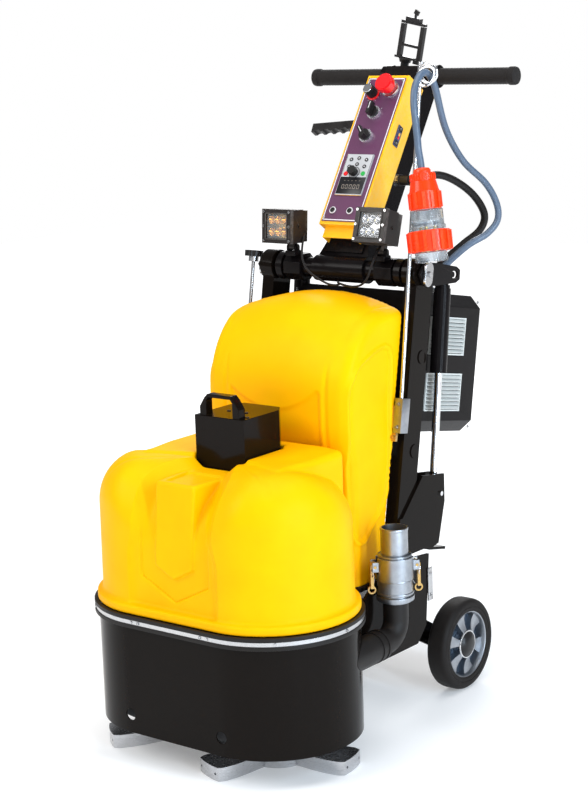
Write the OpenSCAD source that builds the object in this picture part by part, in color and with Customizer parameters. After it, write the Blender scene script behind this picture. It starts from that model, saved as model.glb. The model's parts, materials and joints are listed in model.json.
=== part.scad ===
// Walk-behind concrete floor grinder: twin-plate head, upright motor, leaning mast and handle.
// Millimetres, +Z up, floor at z = 0. Origin on the floor under the wheel axle, on the middle
// plane. The head points along -Y, which is called front here; left is -X.

/* [Grinding head] */
// distance between the two grinding spindles
spindle_gap = 236; // [234:1:240]
// outer radius of a grinding plate at its lobes
plate_r = 166; // [160:1:168]
// thickness of a grinding plate
plate_t = 28; // [24:1:30]
// radius of the rounded ends of the shroud
head_r = 176; // [174:1:180]

/* [Covers] */
// wall thickness of the moulded covers
cover_wall = 4; // [3:0.5:5]
// height of the deck of the front cover
cover_top = 606; // [596:1:612]
// height of the crown of the rear cover
tank_top = 890; // [880:1:894]

/* [Wheels] */
// tyre radius
wheel_r = 100; // [96:1:100]
// tyre width
wheel_w = 48; // [44:1:50]

/* [Handle] */
// lean of the handle from the vertical, degrees
handle_lean = 33.3; // [30:0.1:35]
// half length of the handlebar
bar_half = 264; // [250:1:270]
// grip radius
grip_r = 18; // [17:0.5:19]

/* [Hidden] */
$fn = 48;
sides = [-1,1];              // left and right
lap = 0.01;                  // overlap between joined parts
// head
end_x = 112;                 // centres of the rounded ends
head_y = -533;               // centre line
head_front = head_y-head_r;
spindle_x = spindle_gap/2;
deck = [283,291];            // bottom and top of the deck plate
gear_teeth = 24;
motor_y = -240;
port = [250,-303,0];         // upright axis of the dust port
hose_z = 210;                // axis of the level part of the dust elbow
cover_r = head_r-10;         // end radius of the front cover
// rear cover
tank_half = 184;             // half width
shoulder_z = 838;            // start of the round shoulders
crown_x = 104;               // half width of the flat crown
// running gear
axle_z = wheel_r;
tyre_x = 232;                // outer face of a tyre
// mast and struts
mast_at = [0,-128,911];
mast_lean = 10.43;
strut_at = [185,-60.6,464];  // right strut
strut_lean = 7.04;
strut_foot = -14;            // lower pin, along the strut
strut_pin = 450;             // upper pin, along the strut
louvre_z = [-150,-271];      // bottoms of the cabinet windows, mast frame
louvre_h = 82;
mast_rod = [[193,-192,612],[192,-88,1322],[192,-84,1352]];
// handle
pivot_at = [0,-106,924];
lever_tilt = 7.6;
bar_at = [0,17,477];         // handlebar axis, handle frame
gland_at = [0,14,221];       // cable gland axis, handle frame
pod_at = [116,-128,968];     // hinge of the right pod

// ---------- frames and repeats ----------
module up(z) translate([0,0,z]) children();
module in_mast() translate(mast_at) rotate([-mast_lean,0,0]) children();
module at_pivot() translate(pivot_at) children();
module in_handle() at_pivot() rotate([-handle_lean,0,0]) children();
module in_strut(side)
  translate([side*strut_at[0],strut_at[1],strut_at[2]]) rotate([-strut_lean,0,0]) children();
module mirrored_pair() {
  mirror([1,0,0]) children();
  children();
}
module ring(count) for (i=[0:count-1]) rotate([0,0,360*i/count]) children();
module ring_y(count) for (i=[0:count-1]) rotate([0,360*i/count,0]) children();

// ---------- basic solids; x limits may come in either order ----------
module rod_x(radius, x0, x1)
  translate([min(x0,x1),0,0]) rotate([0,90,0]) cylinder(r=radius, h=abs(x1-x0));
module rod_y(radius, y0, y1) translate([0,y0,0]) rotate([-90,0,0]) cylinder(r=radius, h=y1-y0);
module rod_z(radius, z0, z1) up(z0) cylinder(r=radius, h=z1-z0);
// box from three pairs of limits
module block(x, y, z) {
  low = [min(x),min(y),min(z)];
  translate(low) cube([max(x),max(y),max(z)]-low);
}
// extrusions of 2D children drawn as [y, z], [x, z] and [x, y]
module prism_x(x0, x1)
  translate([min(x0,x1),0,0]) rotate([90,0,90]) linear_extrude(abs(x1-x0)) children();
module prism_y(y0, y1) translate([0,y1,0]) rotate([90,0,0]) linear_extrude(y1-y0) children();
module prism_z(z0, z1) up(z0) linear_extrude(z1-z0) children();
// points mirrored in x, in reverse order
function mirrored(points) = [for (i=[len(points)-1:-1:0]) [-points[i][0],points[i][1]]];

// ---------- head ----------
module at_spindles() for (s=sides) translate([s*spindle_x,head_y,0]) children();
module at_case_bolts() for (x=[-60,60], y=[-117,117]) translate([x,head_y+y,0]) children();
module at_motor() translate([0,motor_y,0]) children();
// long body with round ends; its middle is a trace narrower than the ends
module obround(radius, z0, z1) translate([0,head_y,z0]) {
  half = radius*0.9999;
  for (s=sides) translate([s*end_x,0,0]) cylinder(r=radius, h=z1-z0, $fn=96);
  translate([-end_x,-half,0]) cube([2*end_x,2*half,z1-z0]);
}
module obround_ring(outer, inner, z0, z1) difference() {
  obround(outer, z0, z1);
  obround(inner, z0-1, z1+1);
}
// obround with a rounded top edge
module obround_dome(radius, z0, z1, edge) {
  half = concat(
    [[radius,z0],[radius,z1-edge]],
    [for (a=[15:15:75]) [radius-edge+edge*cos(a),z1-edge+edge*sin(a)]],
    [[radius-edge,z1]]);
  profile = concat([[0,z0]], half, [[0,z1]]);
  for (s=sides) translate([s*end_x,head_y,0]) rotate_extrude($fn=96) polygon(profile);
  translate([0,head_y,0]) prism_x(-end_x, end_x) polygon(concat(profile, mirrored(half)));
}

module deck_plate() color([0.09,0.09,0.1]) difference() {
  union() {
    obround(head_r-3.5, deck[0], deck[1]);
    block([-200,200], [-385,-252], deck);
    block([-160,160], [-420,-156], deck);
  }
  at_motor() rod_z(30, 280, 294);
  at_spindles() rod_z(40, 280, 294);
  at_case_bolts() rod_z(4.5, 280, 294, $fn=24);
}
module skirt() color([0.06,0.06,0.07]) difference() {
  obround_ring(head_r, head_r-3, 61, deck[0]-0.1);
  for (s=sides) translate([s*117,0,99]) rod_y(12.5, -730, -670);
  translate([port[0],0,hose_z]) rod_y(23.5, -500, -380);
  // opening for the drive belt
  block([-50,175], [-400,-350], [248,280]);
}
module bumper_ring() color([0.05,0.05,0.05]) difference() {
  obround_ring(head_r+9, head_r+0.2, 284, 309);
  obround_ring(head_r+12, head_r+6, 292, 301);
  block([-200.2,200.2], [-400,-330], [282,291.2]);
}
// band in the bumper groove, with two studs at the front and a gap at the back
module bumper_strip() color([0.75,0.75,0.77]) difference() {
  union() {
    obround_ring(head_r+7.4, head_r+6.2, 292.6, 300.4);
    for (s=sides) translate([s*97,0,296.5])
      rod_y(3.2, head_front-9.4, head_front-6.9, $fn=24);
  }
  block([-40,40], [-380,-330], [280,320]);
}

// V-shaped relief, [x, z]
chevron = [[-92,420],[-92,388],[0,342],[92,388],[92,420],[84,420],[84,393],[0,351],
  [-84,393],[-84,420]];
// sloping valley in front of the nose, [y, z]
valley = [[-720,420],[-694,420],[-668,585],[-560,600],[-560,640],[-720,640]];
module front_shell() difference() {
  union() {
    obround(head_r+2, 309.2, 329.2);
    intersection() {
      obround_dome(cover_r, 309.2, 596, 92);
      block([-330,330], [-760,-440], [300,620]);
    }
    intersection() {
      obround_dome(cover_r, 309.2, cover_top, 30);
      block([-330,330], [-440.01,-357], [300,620]);
    }
  }
  // hollow, less solid cores behind the valley and around the pocket
  difference() {
    obround_dome(cover_r-cover_wall, 300, 588, 88);
    block([-98,98], [-720,-560], [392,620]);
    block([-70,70], [-561,-386], [470,620]);
  }
  prism_x(-92, 92) polygon(valley);
}
module front_cover() color([1,0.78,0.02]) difference() {
  union() {
    front_shell();
    // nose with a shallow recess in its top
    difference() {
      prism_z(400, 580) polygon([[-50,-677],[50,-677],[63,-541],[-63,-541]]);
      prism_z(574, 584) polygon([[-36,-660],[36,-660],[44,-585],[-44,-585]]);
    }
    prism_y(-702, -697) polygon(chevron);
  }
  // pocket for the weight
  prism_z(476, 676)
    polygon([[-66,-541],[66,-541],[66,-420],[48,-396],[-48,-396],[-66,-420]]);
  // rear opening towards the motor
  block([-120,120], [-400,-350], [300,560]);
}
module weight_block() color([0.04,0.04,0.05]) {
  top = 684.2;
  prism_z(476.2, top)
    polygon([[-62.5,-537],[62.5,-537],[62.5,-424],[46,-400],[-46,-400],[-62.5,-424]]);
  // folded flat-bar handle
  up(top-lap) prism_y(-535, -515) difference() {
    polygon([[-50,0],[-50,18],[-38,36],[-30,44],[30,44],[38,36],[50,18],[50,0]]);
    polygon([[-33,-1],[-33,30],[-28,37],[28,37],[33,30],[33,-1]]);
  }
}

// ---------- gear train ----------
// plate rim: three lobes at plate_r, easing down to radius 59 between them
function lobe_radius(angle) =
  let (off = abs((angle+60)%120-60), t = min(1, max(0, (off-12)/15)), ease = t*t*(3-2*t))
  plate_r-(plate_r-59)*ease;
module grinding_plate(turn) difference() {
  union() {
    rotate([0,0,turn]) linear_extrude(plate_t)
      polygon([for (a=[0:3:357]) [lobe_radius(a)*cos(a),lobe_radius(a)*sin(a)]]);
    cylinder(r=46, h=plate_t+8);
  }
  rod_z(12.06, -1, 59);
  rotate([0,0,turn]) ring(3) {
    translate([128,0,0]) rod_z(16, -1, 8);
    for (s=sides) {
      translate([90,s*24,0]) rod_z(4.2, -1, plate_t+1, $fn=24);
      translate([0,s*26,plate_t/2]) rod_x(2.6, 140, 180, $fn=16);
    }
  }
}
module plate_right() color([0.78,0.79,0.8])
  translate([spindle_x,head_y,0]) grinding_plate(10);
module plate_left() color([0.78,0.79,0.8])
  translate([-spindle_x,head_y,0]) grinding_plate(-130);

// one gear tooth, [tooth pitches from its centre, distance from the pitch circle]
tooth = [[-0.475,-9],[-0.304,-9],[-0.171,7.4],[0.171,7.4],[0.304,-9],[0.475,-9]];
module gear_outline(turn) rotate(turn) polygon([
  for (i=[0:gear_teeth-1]) for (p=tooth)
    let (r = spindle_x+p[1], a = (i+p[0])*360/gear_teeth) [r*cos(a),r*sin(a)]
]);
module spindle(turn) {
  rod_z(12, 3, 153);
  rod_z(44, plate_t+8.1, plate_t+38.1);
  rod_z(19.95, 60, 260);
  difference() {
    prism_z(150, 174) gear_outline(turn);
    ring(6) translate([66,0,0]) rod_z(22, 140, 190);
  }
}
// belt pulley with a square groove
module pulley(radius) difference() {
  rod_z(radius, 254, 276);
  difference() {
    rod_z(radius+4, 259, 271);
    rod_z(radius-4, 259, 271);
  }
}
// turned half a tooth to mesh with the right gear
module spindle_left() color([0.55,0.56,0.58])
  translate([-spindle_x,head_y,0]) spindle(180/gear_teeth);
module spindle_right() color([0.55,0.56,0.58]) translate([spindle_x,head_y,0]) {
  spindle(0);
  pulley(60);
  rod_z(19.95, 250, 277);
}
module gear_case() color([0.35,0.36,0.38]) {
  difference() {
    obround(150, 80, 250);
    obround(142, 92, 238);
    at_spindles() rod_z(30, 70, 270);
  }
  // rings around the spindles
  at_spindles() for (z=[80.5,239]) difference() {
    rod_z(29.9, z, z+10);
    rod_z(20, z-1, z+11);
  }
  // posts up to the deck plate
  at_case_bolts() difference() {
    rod_z(12, 249.9, deck[0]);
    rod_z(4, 262, 302, $fn=24);
  }
}
module motor() color([0.25,0.32,0.36]) at_motor() difference() {
  union() {
    rod_z(82, 318, 648);
    ring(24) block([77,87.5], [-2,2], [340,580]);
    rod_z(86, 291.2, 319.2);
    rod_z(92, 640, 710);
    block([-50,50], [70,104], [470,560]);
  }
  rod_z(14.06, 290, 360);
  rod_z(20, 290, 296);
  ring(6) translate([58,0,0]) rod_z(14, 670, 730, $fn=24);
}
module motor_pulley() color([0.5,0.5,0.52]) at_motor() {
  rod_z(14, 270, 354);
  pulley(45);
}

// ---------- chassis and mast ----------
// outlines as [y, z]
side_plate = [[-378,146],[-160,144],[-127,177],[-112,330],[-190,338],[-275,338],[-364,284],
  [-378,276]];
axle_arm = [[-182,155.9],[-182,225],[-165,225],[15,118],[15,84],[-18,84],[-150,155.9]];
outer_cheek = [[-214,428],[-205,428],[-127,502],[-46,490],[-46,430],[-60,384],[-72,344],
  [-106,337],[-130,344],[-205,345],[-230,380]];
inner_cheek = [[-200,440],[-127,502],[-46,490],[-46,400],[-205,385]];
// round caps on the columns, [height in the mast frame, extra distance out from the column]
column_caps = [[-154,0],[-350,0],[-546,5]];

module chassis_frame() color([0.06,0.06,0.07]) difference() {
  union() {
    for (s=sides) {
      prism_x(s*200.1, s*206.1) polygon(side_plate);
      translate([0,-193,196]) rod_x(14.5, s*206, s*208.3);
      prism_x(s*146, s*154) polygon(axle_arm);
    }
    block([-200.2,200.2], [-356,-170], [150,156]);
    block([-200.2,200.2], [-186,-180], [150.1,225]);
    up(axle_z) {
      rod_x(14, -146, 146);
      rod_x(10, -236, 236);
    }
  }
  block([-60,60], [-330,-220], [140,170]);
}
module right_column() difference() {
  union() {
    in_mast() difference() {
      block([170,200], [0,60], [-756,20]);
      block([173,197], [3,57], [-760,-30]);
    }
    at_pivot() rod_x(33, 169.4, 200.6);
    // strut cheeks and foot tab
    prism_x(199.9, 205) polygon(outer_cheek);
    prism_x(165, 170.1) polygon(inner_cheek);
    translate([0,-90,336]) rotate([-12,0,0]) block([180,205], [-18,44], [-3,3]);
  }
  at_pivot() rod_x(16, 160, 210);
  in_mast() for (cap=column_caps) translate([0,42,cap[0]]) rod_x(13, 196, 210);
  in_strut(1) up(strut_foot) rod_x(5.05, -40, 40);
}
module at_screw() in_mast() translate([-232,3,0]) children();
module mast_columns() color([0.07,0.07,0.08]) {
  mirrored_pair() right_column();
  in_mast() {
    // cross members
    block([-170.1,170.1], [12,52], [-96,-60]);
    block([-170.1,170.1], [20,50], [-720,-690]);
    block([-120,120], [2,12.1], [-92,-64]);
  }
  // tab for the cover screw
  difference() {
    in_mast() block([-240,-199.9], [-5,12], [-306,-298]);
    at_screw() rod_z(4.05, -320, -280);
  }
  mirrored_pair() in_mast() for (cap=column_caps) translate([0,42,cap[0]]) {
    rod_x(12.9, 197.2, 200.06+cap[1]);
    rod_x(14.5, 200.02+cap[1], 202.2+cap[1]);
  }
}
module strut_rods() color([0.8,0.81,0.83]) mirrored_pair() in_strut(1) {
  rod_z(8.5, -4, 375);
  up(strut_foot) {
    rod_x(12, -13, 13);
    rod_x(5, -24, 24);
  }
}
module strut_tube(side) color([0.08,0.08,0.09]) in_strut(side) {
  difference() {
    union() {
      rod_z(18, 242, 420);
      rod_z(16, 419.9, 426.9);
      rod_z(12.5, 426.8, 431.8);
    }
    rod_z(8.56, 200, 415);
  }
  block([-8,8], [-9,9], [430,452]);
  up(strut_pin) {
    rod_x(9.2, -8, 8);
    rod_x(6, -25, 25);
  }
}
module strut_tube_left() strut_tube(-1);
module strut_tube_right() strut_tube(1);

// box outline with cut corners, [x, z] in the mast frame
function cabinet_outline(inset) =
  let (end = 134-inset, wide = 160-inset, low = -318+inset, top = -19-inset)
  [[-end,low],[end,low],[wide,-292],[wide,-45],[end,top],[-end,top],[-wide,-45],[-wide,-292]];
module cabinet() color([0.07,0.065,0.07]) in_mast() difference() {
  prism_y(62, 322) polygon(cabinet_outline(0));
  prism_y(65, 319) polygon(cabinet_outline(3));
  for (s=sides, z=louvre_z) block([s*150,s*170], [125,265], [z,z+louvre_h]);
}
module cabinet_louvres() color([0.82,0.83,0.8]) in_mast() mirrored_pair() for (z=louvre_z) {
  difference() {
    block([157.3,162], [125.2,264.8], [z+0.2,z+louvre_h-0.2]);
    block([156,164], [129,261], [z+3.5,z+louvre_h-3.5]);
  }
  for (i=[0:8]) up(z+5+8.2*i)
    prism_y(128.9, 261.1) polygon([[157.4,5.5],[158.4,7],[164,1.4],[163,0]]);
}
module inverter() color([0.2,0.2,0.22]) in_mast() {
  block([-70,70], [90,210], [-280,-80]);
  block([-90,90], [210,254], [-270,-90]);
  block([-60,60], [65.1,90.1], [-240,-160]);
}

// ---------- wheels ----------
module tyre(side) color([0.06,0.06,0.06]) up(axle_z) difference() {
  union() {
    rod_x(wheel_r, side*(tyre_x-wheel_w+4), side*(tyre_x-4), $fn=96);
    rod_x(wheel_r-5, side*(tyre_x-wheel_w), side*tyre_x, $fn=96);
  }
  rod_x(73, side*tyre_x-60, side*tyre_x+60, $fn=96);
}
module rim(side) color([0.7,0.71,0.72]) translate([side*208,0,axle_z]) difference() {
  union() {
    difference() {
      rod_x(72.96, -23, 23, $fn=96);
      rod_x(66, -24, 24, $fn=96);
    }
    rod_x(24, -22, 20);
    rod_x(67, -5, 3, $fn=96);
    // spokes
    for (i=[0:5]) rotate([60*i+10,0,0]) block([side*-4,side*10], [-5,5], [20,68]);
  }
  rod_x(10.05, -40, 40);
  for (i=[0:5]) rotate([60*i+40,0,0]) up(45) rod_x(11, -20, 20, $fn=24);
}
module tyre_left() tyre(-1);
module tyre_right() tyre(1);
module rim_left() rim(-1);
module rim_right() rim(1);

// ---------- rear cover ----------
// side view, [y, z]
function tank_side(inset) = concat(
  [[-272,310],[-333+inset,310],[-333+inset,560],[-357+inset,625],[-357+inset,700-inset]],
  [for (a=[12:12:84]) [-200-(157-inset)*cos(a),700-inset+(tank_top-700)*sin(a)]],
  [[-200,tank_top-inset],[-164,tank_top-inset]]);
// left half of the front view, [x, z]
function tank_left(inset) = concat(
  [[-tank_half+inset,300],[-tank_half+inset,shoulder_z-inset]],
  [for (a=[15:15:75]) [-crown_x-(tank_half-crown_x-inset)*cos(a),
    shoulder_z-inset+(tank_top-shoulder_z)*sin(a)]],
  [[-crown_x,tank_top-inset]]);
// outline sunk into both side walls, [y, z]
tank_panel = [[-282,408],[-262,436],[-218,470],[-196,540],[-185,640],[-182,778],[-268,764],
  [-306,728],[-316,690],[-314,560],[-312,430]];
module tank_solid(inset) intersection() {
  prism_x(-tank_half+inset, tank_half-inset) polygon(tank_side(inset));
  prism_y(-400, -100) polygon(concat(tank_left(inset), mirrored(tank_left(inset))));
}
module rear_cover() color([1,0.76,0.02]) difference() {
  inner = tank_half-cover_wall;
  tank_solid(0);
  tank_solid(cover_wall);
  // open towards the columns and below
  prism_x(-inner, inner) polygon([[-268,300],[-160,900],[-150,900],[-240,300]]);
  block([-inner,inner], [-329,-260], [300,320]);
  for (s=sides) prism_x(s*(tank_half-2.5), s*(tank_half+1)) polygon(tank_panel);
}

// ---------- dust port ----------
module port_bend(radius) translate([0,-40,250]) rotate([0,90,0])
  rotate_extrude(angle=90) translate([40,0]) circle(r=radius);
module dust_elbow() color([0.06,0.06,0.06]) difference() {
  translate(port) {
    difference() {
      union() {
        rod_z(26.05, 249.9, 285.9);
        port_bend(25.9);
        up(hose_z) rod_y(26.05, -189.9, -39.9);
      }
      rod_z(23.1, 249, 309);
      port_bend(22.9);
      up(hose_z) rod_y(23.1, -209, -39);
    }
    // outer sleeve with two ribs
    up(hose_z) difference() {
      union() {
        rod_y(31, -208, -58);
        rod_y(32.5, -69, -63);
        rod_y(32.5, -88, -82);
      }
      rod_y(26.1, -227, -57);
    }
  }
  obround(head_r+0.4, 150, 300);
}
module in_camlock() translate(port) rotate([0,0,-45]) children();
module at_cam_pin(side) translate([0,side*43,362]) children();
module camlock_socket() color([0.72,0.73,0.74]) in_camlock() difference() {
  union() {
    rod_z(33, 286.2, 302.2);
    rod_z(38.5, 290, 299);
    rod_z(36, 302, 338);
    rod_z(38.5, 334, 380);
    // lugs beside the cam arms
    for (s=sides, x=[-15,9]) block([x,x+6], [s*34,s*48], [352,372]);
  }
  rod_z(25, 280, 320);
  rod_z(32.1, 318, 398);
  for (s=sides) {
    block([-9,9], [s*24,s*52], [346,382]);
    at_cam_pin(s) rod_x(3.05, -20, 20);
  }
}
module hose_tail() color([0.74,0.75,0.77]) in_camlock() difference() {
  union() {
    rod_z(32, 330, 380);
    rod_z(34, 380.2, 384.2);
    rod_z(27.8, 384, 440);
  }
  rod_z(25, 320, 460);
  for (s=sides) at_cam_pin(s) rod_x(14, -30, 30);
}
module cam_arm(side) color([0.78,0.6,0.25]) in_camlock() at_cam_pin(side) {
  rod_x(3, -15, 15);
  rod_x(7.5, -8.6, 8.6);
  block([-8.6,8.6], [side*2,side*8], [-46,2]);
  // pull ring
  translate([0,side*5,-50]) difference() {
    rod_x(8.5, -2.5, 2.5);
    rod_x(5.5, -3, 3);
  }
}
module cam_arm_front() cam_arm(-1);
module cam_arm_rear() cam_arm(1);

// ---------- cables, mast rod, plug ----------
module rod_between(start, end, radius) {
  span = end-start;
  length = norm(span);
  translate(start) rotate([0,acos(span[2]/length),atan2(span[1],span[0])])
    cylinder(r=radius, h=length, $fn=40);
}
module cable_mast() color([0.75,0.76,0.78]) {
  rod_between(mast_rod[0], mast_rod[1], 4.2);
  rod_between(mast_rod[1], mast_rod[2], 6);
  // two wire loops at the top
  for (i=[0,1]) translate([212-1.5*i,-88-7*i,1331-7*i]) rotate([90-24*i,0,0])
    rotate_extrude($fn=40) translate([20,0]) circle(r=3.2, $fn=16);
  // blocks on the right column
  difference() {
    in_mast() block([184,199.8], [-18,-0.2], [-300,-245]);
    rod_between(mast_rod[0], mast_rod[1], 4.25);
  }
  in_mast() difference() {
    block([166,177.8], [-16,-0.2], [-360,-290]);
    translate([172,0,-345]) rod_y(3, -30, 10, $fn=24);
  }
}

// centre line of the supply cable, [x, y, z]
supply_path = [
  [235.6,-153.3,1133.5],[230,-151,1160],[224,-160,1200],[217,-162,1238],[208,-140,1290],
  [209,-124,1315],[210,-104,1329],[211,-84,1327],[210,-62,1296],[208,-22,1215],
  [209,40,1145],[219,112,1092],[223,150,1045],[221,156,1008],[206,136,980],[178,106,958],
  [140,82,920],[108,68,880],[100,66,861.5]];
module supply_cable() color([0.4,0.43,0.48]) {
  radius = 7;
  last = len(supply_path)-1;
  for (i=[0:last-1]) rod_between(supply_path[i], supply_path[i+1], radius);
  for (i=[1:last-1]) translate(supply_path[i]) sphere(r=radius+0.25, $fn=40);
}

// centre of the circle through three points
function circle_centre(a, b, c) = let (ab = b-a, ac = c-a, normal = cross(ab, ac))
  a+((ac*ac)*cross(normal, ab)+(ab*ab)*cross(ac, normal))/(2*(normal*normal));
// round rod along the arc from start through middle to end
module arc_rod(start, middle, end, radius) {
  centre = circle_centre(start, middle, end);
  normal = cross(middle-start, end-start);
  w = normal/norm(normal);
  u = (start-centre)/norm(start-centre);
  v = cross(w, u);
  turn = atan2((end-centre)*v, (end-centre)*u);
  multmatrix([
    [u[0],v[0],w[0],centre[0]],
    [u[1],v[1],w[1],centre[1]],
    [u[2],v[2],w[2],centre[2]],
    [0,0,0,1]
  ]) rotate_extrude(angle=turn<0 ? turn+360 : turn, $fn=72)
    translate([norm(start-centre),0]) circle(r=radius, $fn=40);
}
module control_cable() color([0.05,0.05,0.05])
  arc_rod([95,31,1099], [173,160,1035], [62,102,860], 8);

module in_plug() translate([248,-160,1063]) rotate([-5.3,-9.9,0]) children();
module plug_shell() color([1,0.15,0.02]) in_plug() difference() {
  union() {
    rod_z(25, 57, 73);
    up(37) cylinder(r1=30, r2=26, h=20.1);
    rod_z(31, 0, 37.1);
    ring(12) block([27,34], [-3,3], [3,35]);
  }
  rod_z(27.8, -1, 32);
  rod_z(20, 30, 44);
  rod_z(7.6, 40, 90);
}
module plug_inner() color([0.8,0.85,0.88,0.4]) in_plug() {
  difference() {
    union() {
      rod_z(33, -34, -0.1);
      rod_z(35.5, -40, -32);
      rod_z(33, -104, -39.9);
      rod_z(27.6, -0.2, 23.8);
    }
    rod_z(28, -110, -20);
    rod_z(20, -30, 40);
  }
  // contact disc and its five pins
  difference() {
    rod_z(27.8, -32, -24);
    ring(5) translate([15,0,0]) rod_z(3.1, -80, 0, $fn=20);
  }
  ring(5) translate([15,0,0]) rod_z(3, -76, -26, $fn=20);
}
module plug_ring() color([1,0.15,0.02]) in_plug() difference() {
  union() {
    rod_z(42.5, -84, -42);
    ring(16) block([40,46], [-3.5,3.5], [-82,-44]);
  }
  rod_z(33.06, -90, -45);
  rod_z(35.56, -46, -36);
}
module cover_screw() color([0.15,0.15,0.16]) at_screw() {
  rod_z(4, -300, 26);
  rod_z(11, 20, 32);
  difference() {
    rod_z(20, 31, 44);
    ring(6) translate([23,0,0]) rod_z(7, 20, 60, $fn=24);
  }
}

// ---------- handle ----------
// strut lever, [y, z] from the pivot
strut_lever = [[-26,0],[-8,24],[30,24],[112,17],[126,10],[126,-10],[112,-17],[30,-24],
  [-8,-24]];
module pivot_tube() color([0.06,0.06,0.07]) at_pivot() difference() {
  union() {
    rod_x(21, -162, 162);
    rod_x(28, -66, 66);
    for (s=sides) {
      rod_x(30, s*146, s*161);
      rod_x(15.94, s*160, s*212);
    }
    // levers inside and outside of each column
    mirrored_pair() rotate([-lever_tilt,0,0]) for (x=[161.9,206.2])
      prism_x(x, x+5) polygon(strut_lever);
  }
  // slots near the lever ends
  mirrored_pair() rotate([-lever_tilt,0,0]) {
    for (y=[101,110]) translate([0,y,0]) rod_x(7.6, 150, 215);
    block([150,215], [101,110], [-7.59,7.59]);
  }
  for (s=sides) rod_x(5, s*200, s*230);
}
module handle_frame() color([0.06,0.06,0.07]) in_handle() difference() {
  union() {
    block([-48,48], [-20,53], [30,482]);
    prism_y(-16, 20) polygon([[-64,20],[64,20],[48,74],[-48,74]]);
    translate(bar_at) {
      rod_x(15.9, -bar_half+2, bar_half-2);
      for (s=sides) rod_x(25, s*(48-lap), s*70);
    }
    // ears and pin of the hand lever
    for (y=[6.9,27.1]) block([-70,-47.9], [y,y+3], [346,366]);
    translate([-60,0,356]) rod_y(4, 6.9, 30);
    // upright stub on the bar
    translate([-20,bar_at[1],bar_at[2]]) rotate([handle_lean,0,0]) cylinder(r=6, h=17);
  }
  rod_x(28.05, -90, 90);
  block([-44,44], [-16,49], [90,470]);
  translate(gland_at) rod_x(8, 40, 60);
}
module grips() color([0.07,0.065,0.065]) in_handle() translate(bar_at)
  for (s=sides) difference() {
    union() {
      rod_x(grip_r, s*72, s*bar_half);
      rod_x(grip_r+1.6, s*(bar_half-14), s*bar_half);
    }
    rod_x(16, s*60, s*(bar_half-2));
  }
module hand_lever() color([0.06,0.06,0.06]) in_handle()
  translate([-60,18.5,356]) rotate([0,-5,0]) difference() {
    union() {
      rod_y(9, -8, 8);
      block([-60,-4], [-5,5], [-7,7]);
      // finger grip
      difference() {
        block([-160,-48], [-9,9], [-9,12]);
        for (i=[0:3]) translate([24*i-144,0,-17]) rod_y(12, -12, 12, $fn=32);
      }
    }
    rod_y(4.05, -20, 20);
  }

// ---------- controls, on the -Y face of the box ----------
// places on the panel, [x, z] in the handle frame
estop_at = [23,394];
speed_at = [-22,386];
upper_at = [-2,338];
lower_at = [-2,281];
small_at = [[-25,104],[19,104]];   // two small bezels at the bottom
run_at = [21.5,192];
stop_at = [-22.5,191];
knob_at = [-1.7,194];
key_bumps = [[-20,225],[-1,228.5],[19,225],[-20,208],[-1.5,214],[19,209]];
// [place, rim radius, front y, neck radius, neck back y, bore radius, bore y limits]
bezels = [
  [estop_at, 18, -73.1, 10.9, -40, 7.05, [-90,-30]],
  [upper_at, 15, -72.1, 10.9, -40, 7.05, [-90,-30]],
  [lower_at, 15, -72.1, 10.9, -40, 7.05, [-90,-30]],
  [speed_at, 15, -67, 5.9, -50, 3.05, [-90,-30]],
  [small_at[0], 7.5, -67, 5.9, -50, 3, [-80,-56]],
  [small_at[1], 7.5, -67, 5.9, -50, 3, [-80,-56]]];

module on_panel(place) translate([place[0],0,place[1]]) children();
module panel_cutouts() {
  for (place=[estop_at,upper_at,lower_at]) on_panel(place) rod_y(11, -70, -50, $fn=32);
  for (place=concat([speed_at], small_at)) on_panel(place) rod_y(6, -70, -50, $fn=32);
  block([-34,34], [-70,-50], [141,238]);
}
module control_box() color([1,0.8,0.02]) in_handle() difference() {
  union() {
    block([-53,53], [-62,0], [73,433]);
    block([-43,43], [-50,-24], [48,73.1]);
  }
  block([-50,50], [-59,8], [76,430]);
  block([-49,49], [-21,8], [40,440]);
  block([-40,40], [-47,-20], [40,70]);
  panel_cutouts();
}
module fascia() color([0.36,0.2,0.34]) in_handle() difference() {
  block([-48,48], [-64,-62.1], [80,426]);
  panel_cutouts();
}
module control_bezels() color([0.78,0.78,0.8]) in_handle() {
  for (b=bezels) on_panel(b[0]) difference() {
    union() {
      rod_y(b[1], b[2], -64.1);
      rod_y(b[3], -64.2, b[4]);
    }
    rod_y(b[5], b[6][0], b[6][1]);
  }
  // plate on the right side of the box
  translate([53.1,-35,300]) difference() {
    block([0,2.5], [-7,7], [-22,22]);
    block([1,4], [-4,4], [-10,10]);
    for (z=[-17,17]) up(z) rod_x(1.6, -1, 4, $fn=16);
  }
  // gland for the control cable
  translate(gland_at) difference() {
    union() {
      rod_x(7.9, 42, 50);
      rod_x(13, 48.1, 62, $fn=36);
      rod_x(11, 61.9, 84);
    }
    rod_x(8.3, 60, 100);
  }
}
module keypad() color([0.75,0.76,0.78]) in_handle() difference() {
  union() {
    block([-33.8,33.8], [-67,-59.9], [141.2,237.8]);
    for (place=key_bumps) on_panel(place) rod_y(4.6, -68, -66.9, $fn=24);
  }
  for (place=[stop_at,run_at]) on_panel(place) rod_y(5.2, -70, -60.5, $fn=32);
  on_panel(knob_at) rod_y(3.05, -70, -58);
  block([-28,28], [-69,-66], [146,172]);
}
module key(place) in_handle() on_panel(place) rod_y(5, -68.4, -62, $fn=32);
module key_run() color([0.1,0.6,0.2]) key(run_at);
module key_stop() color([0.95,0.25,0.15]) key(stop_at);
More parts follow.
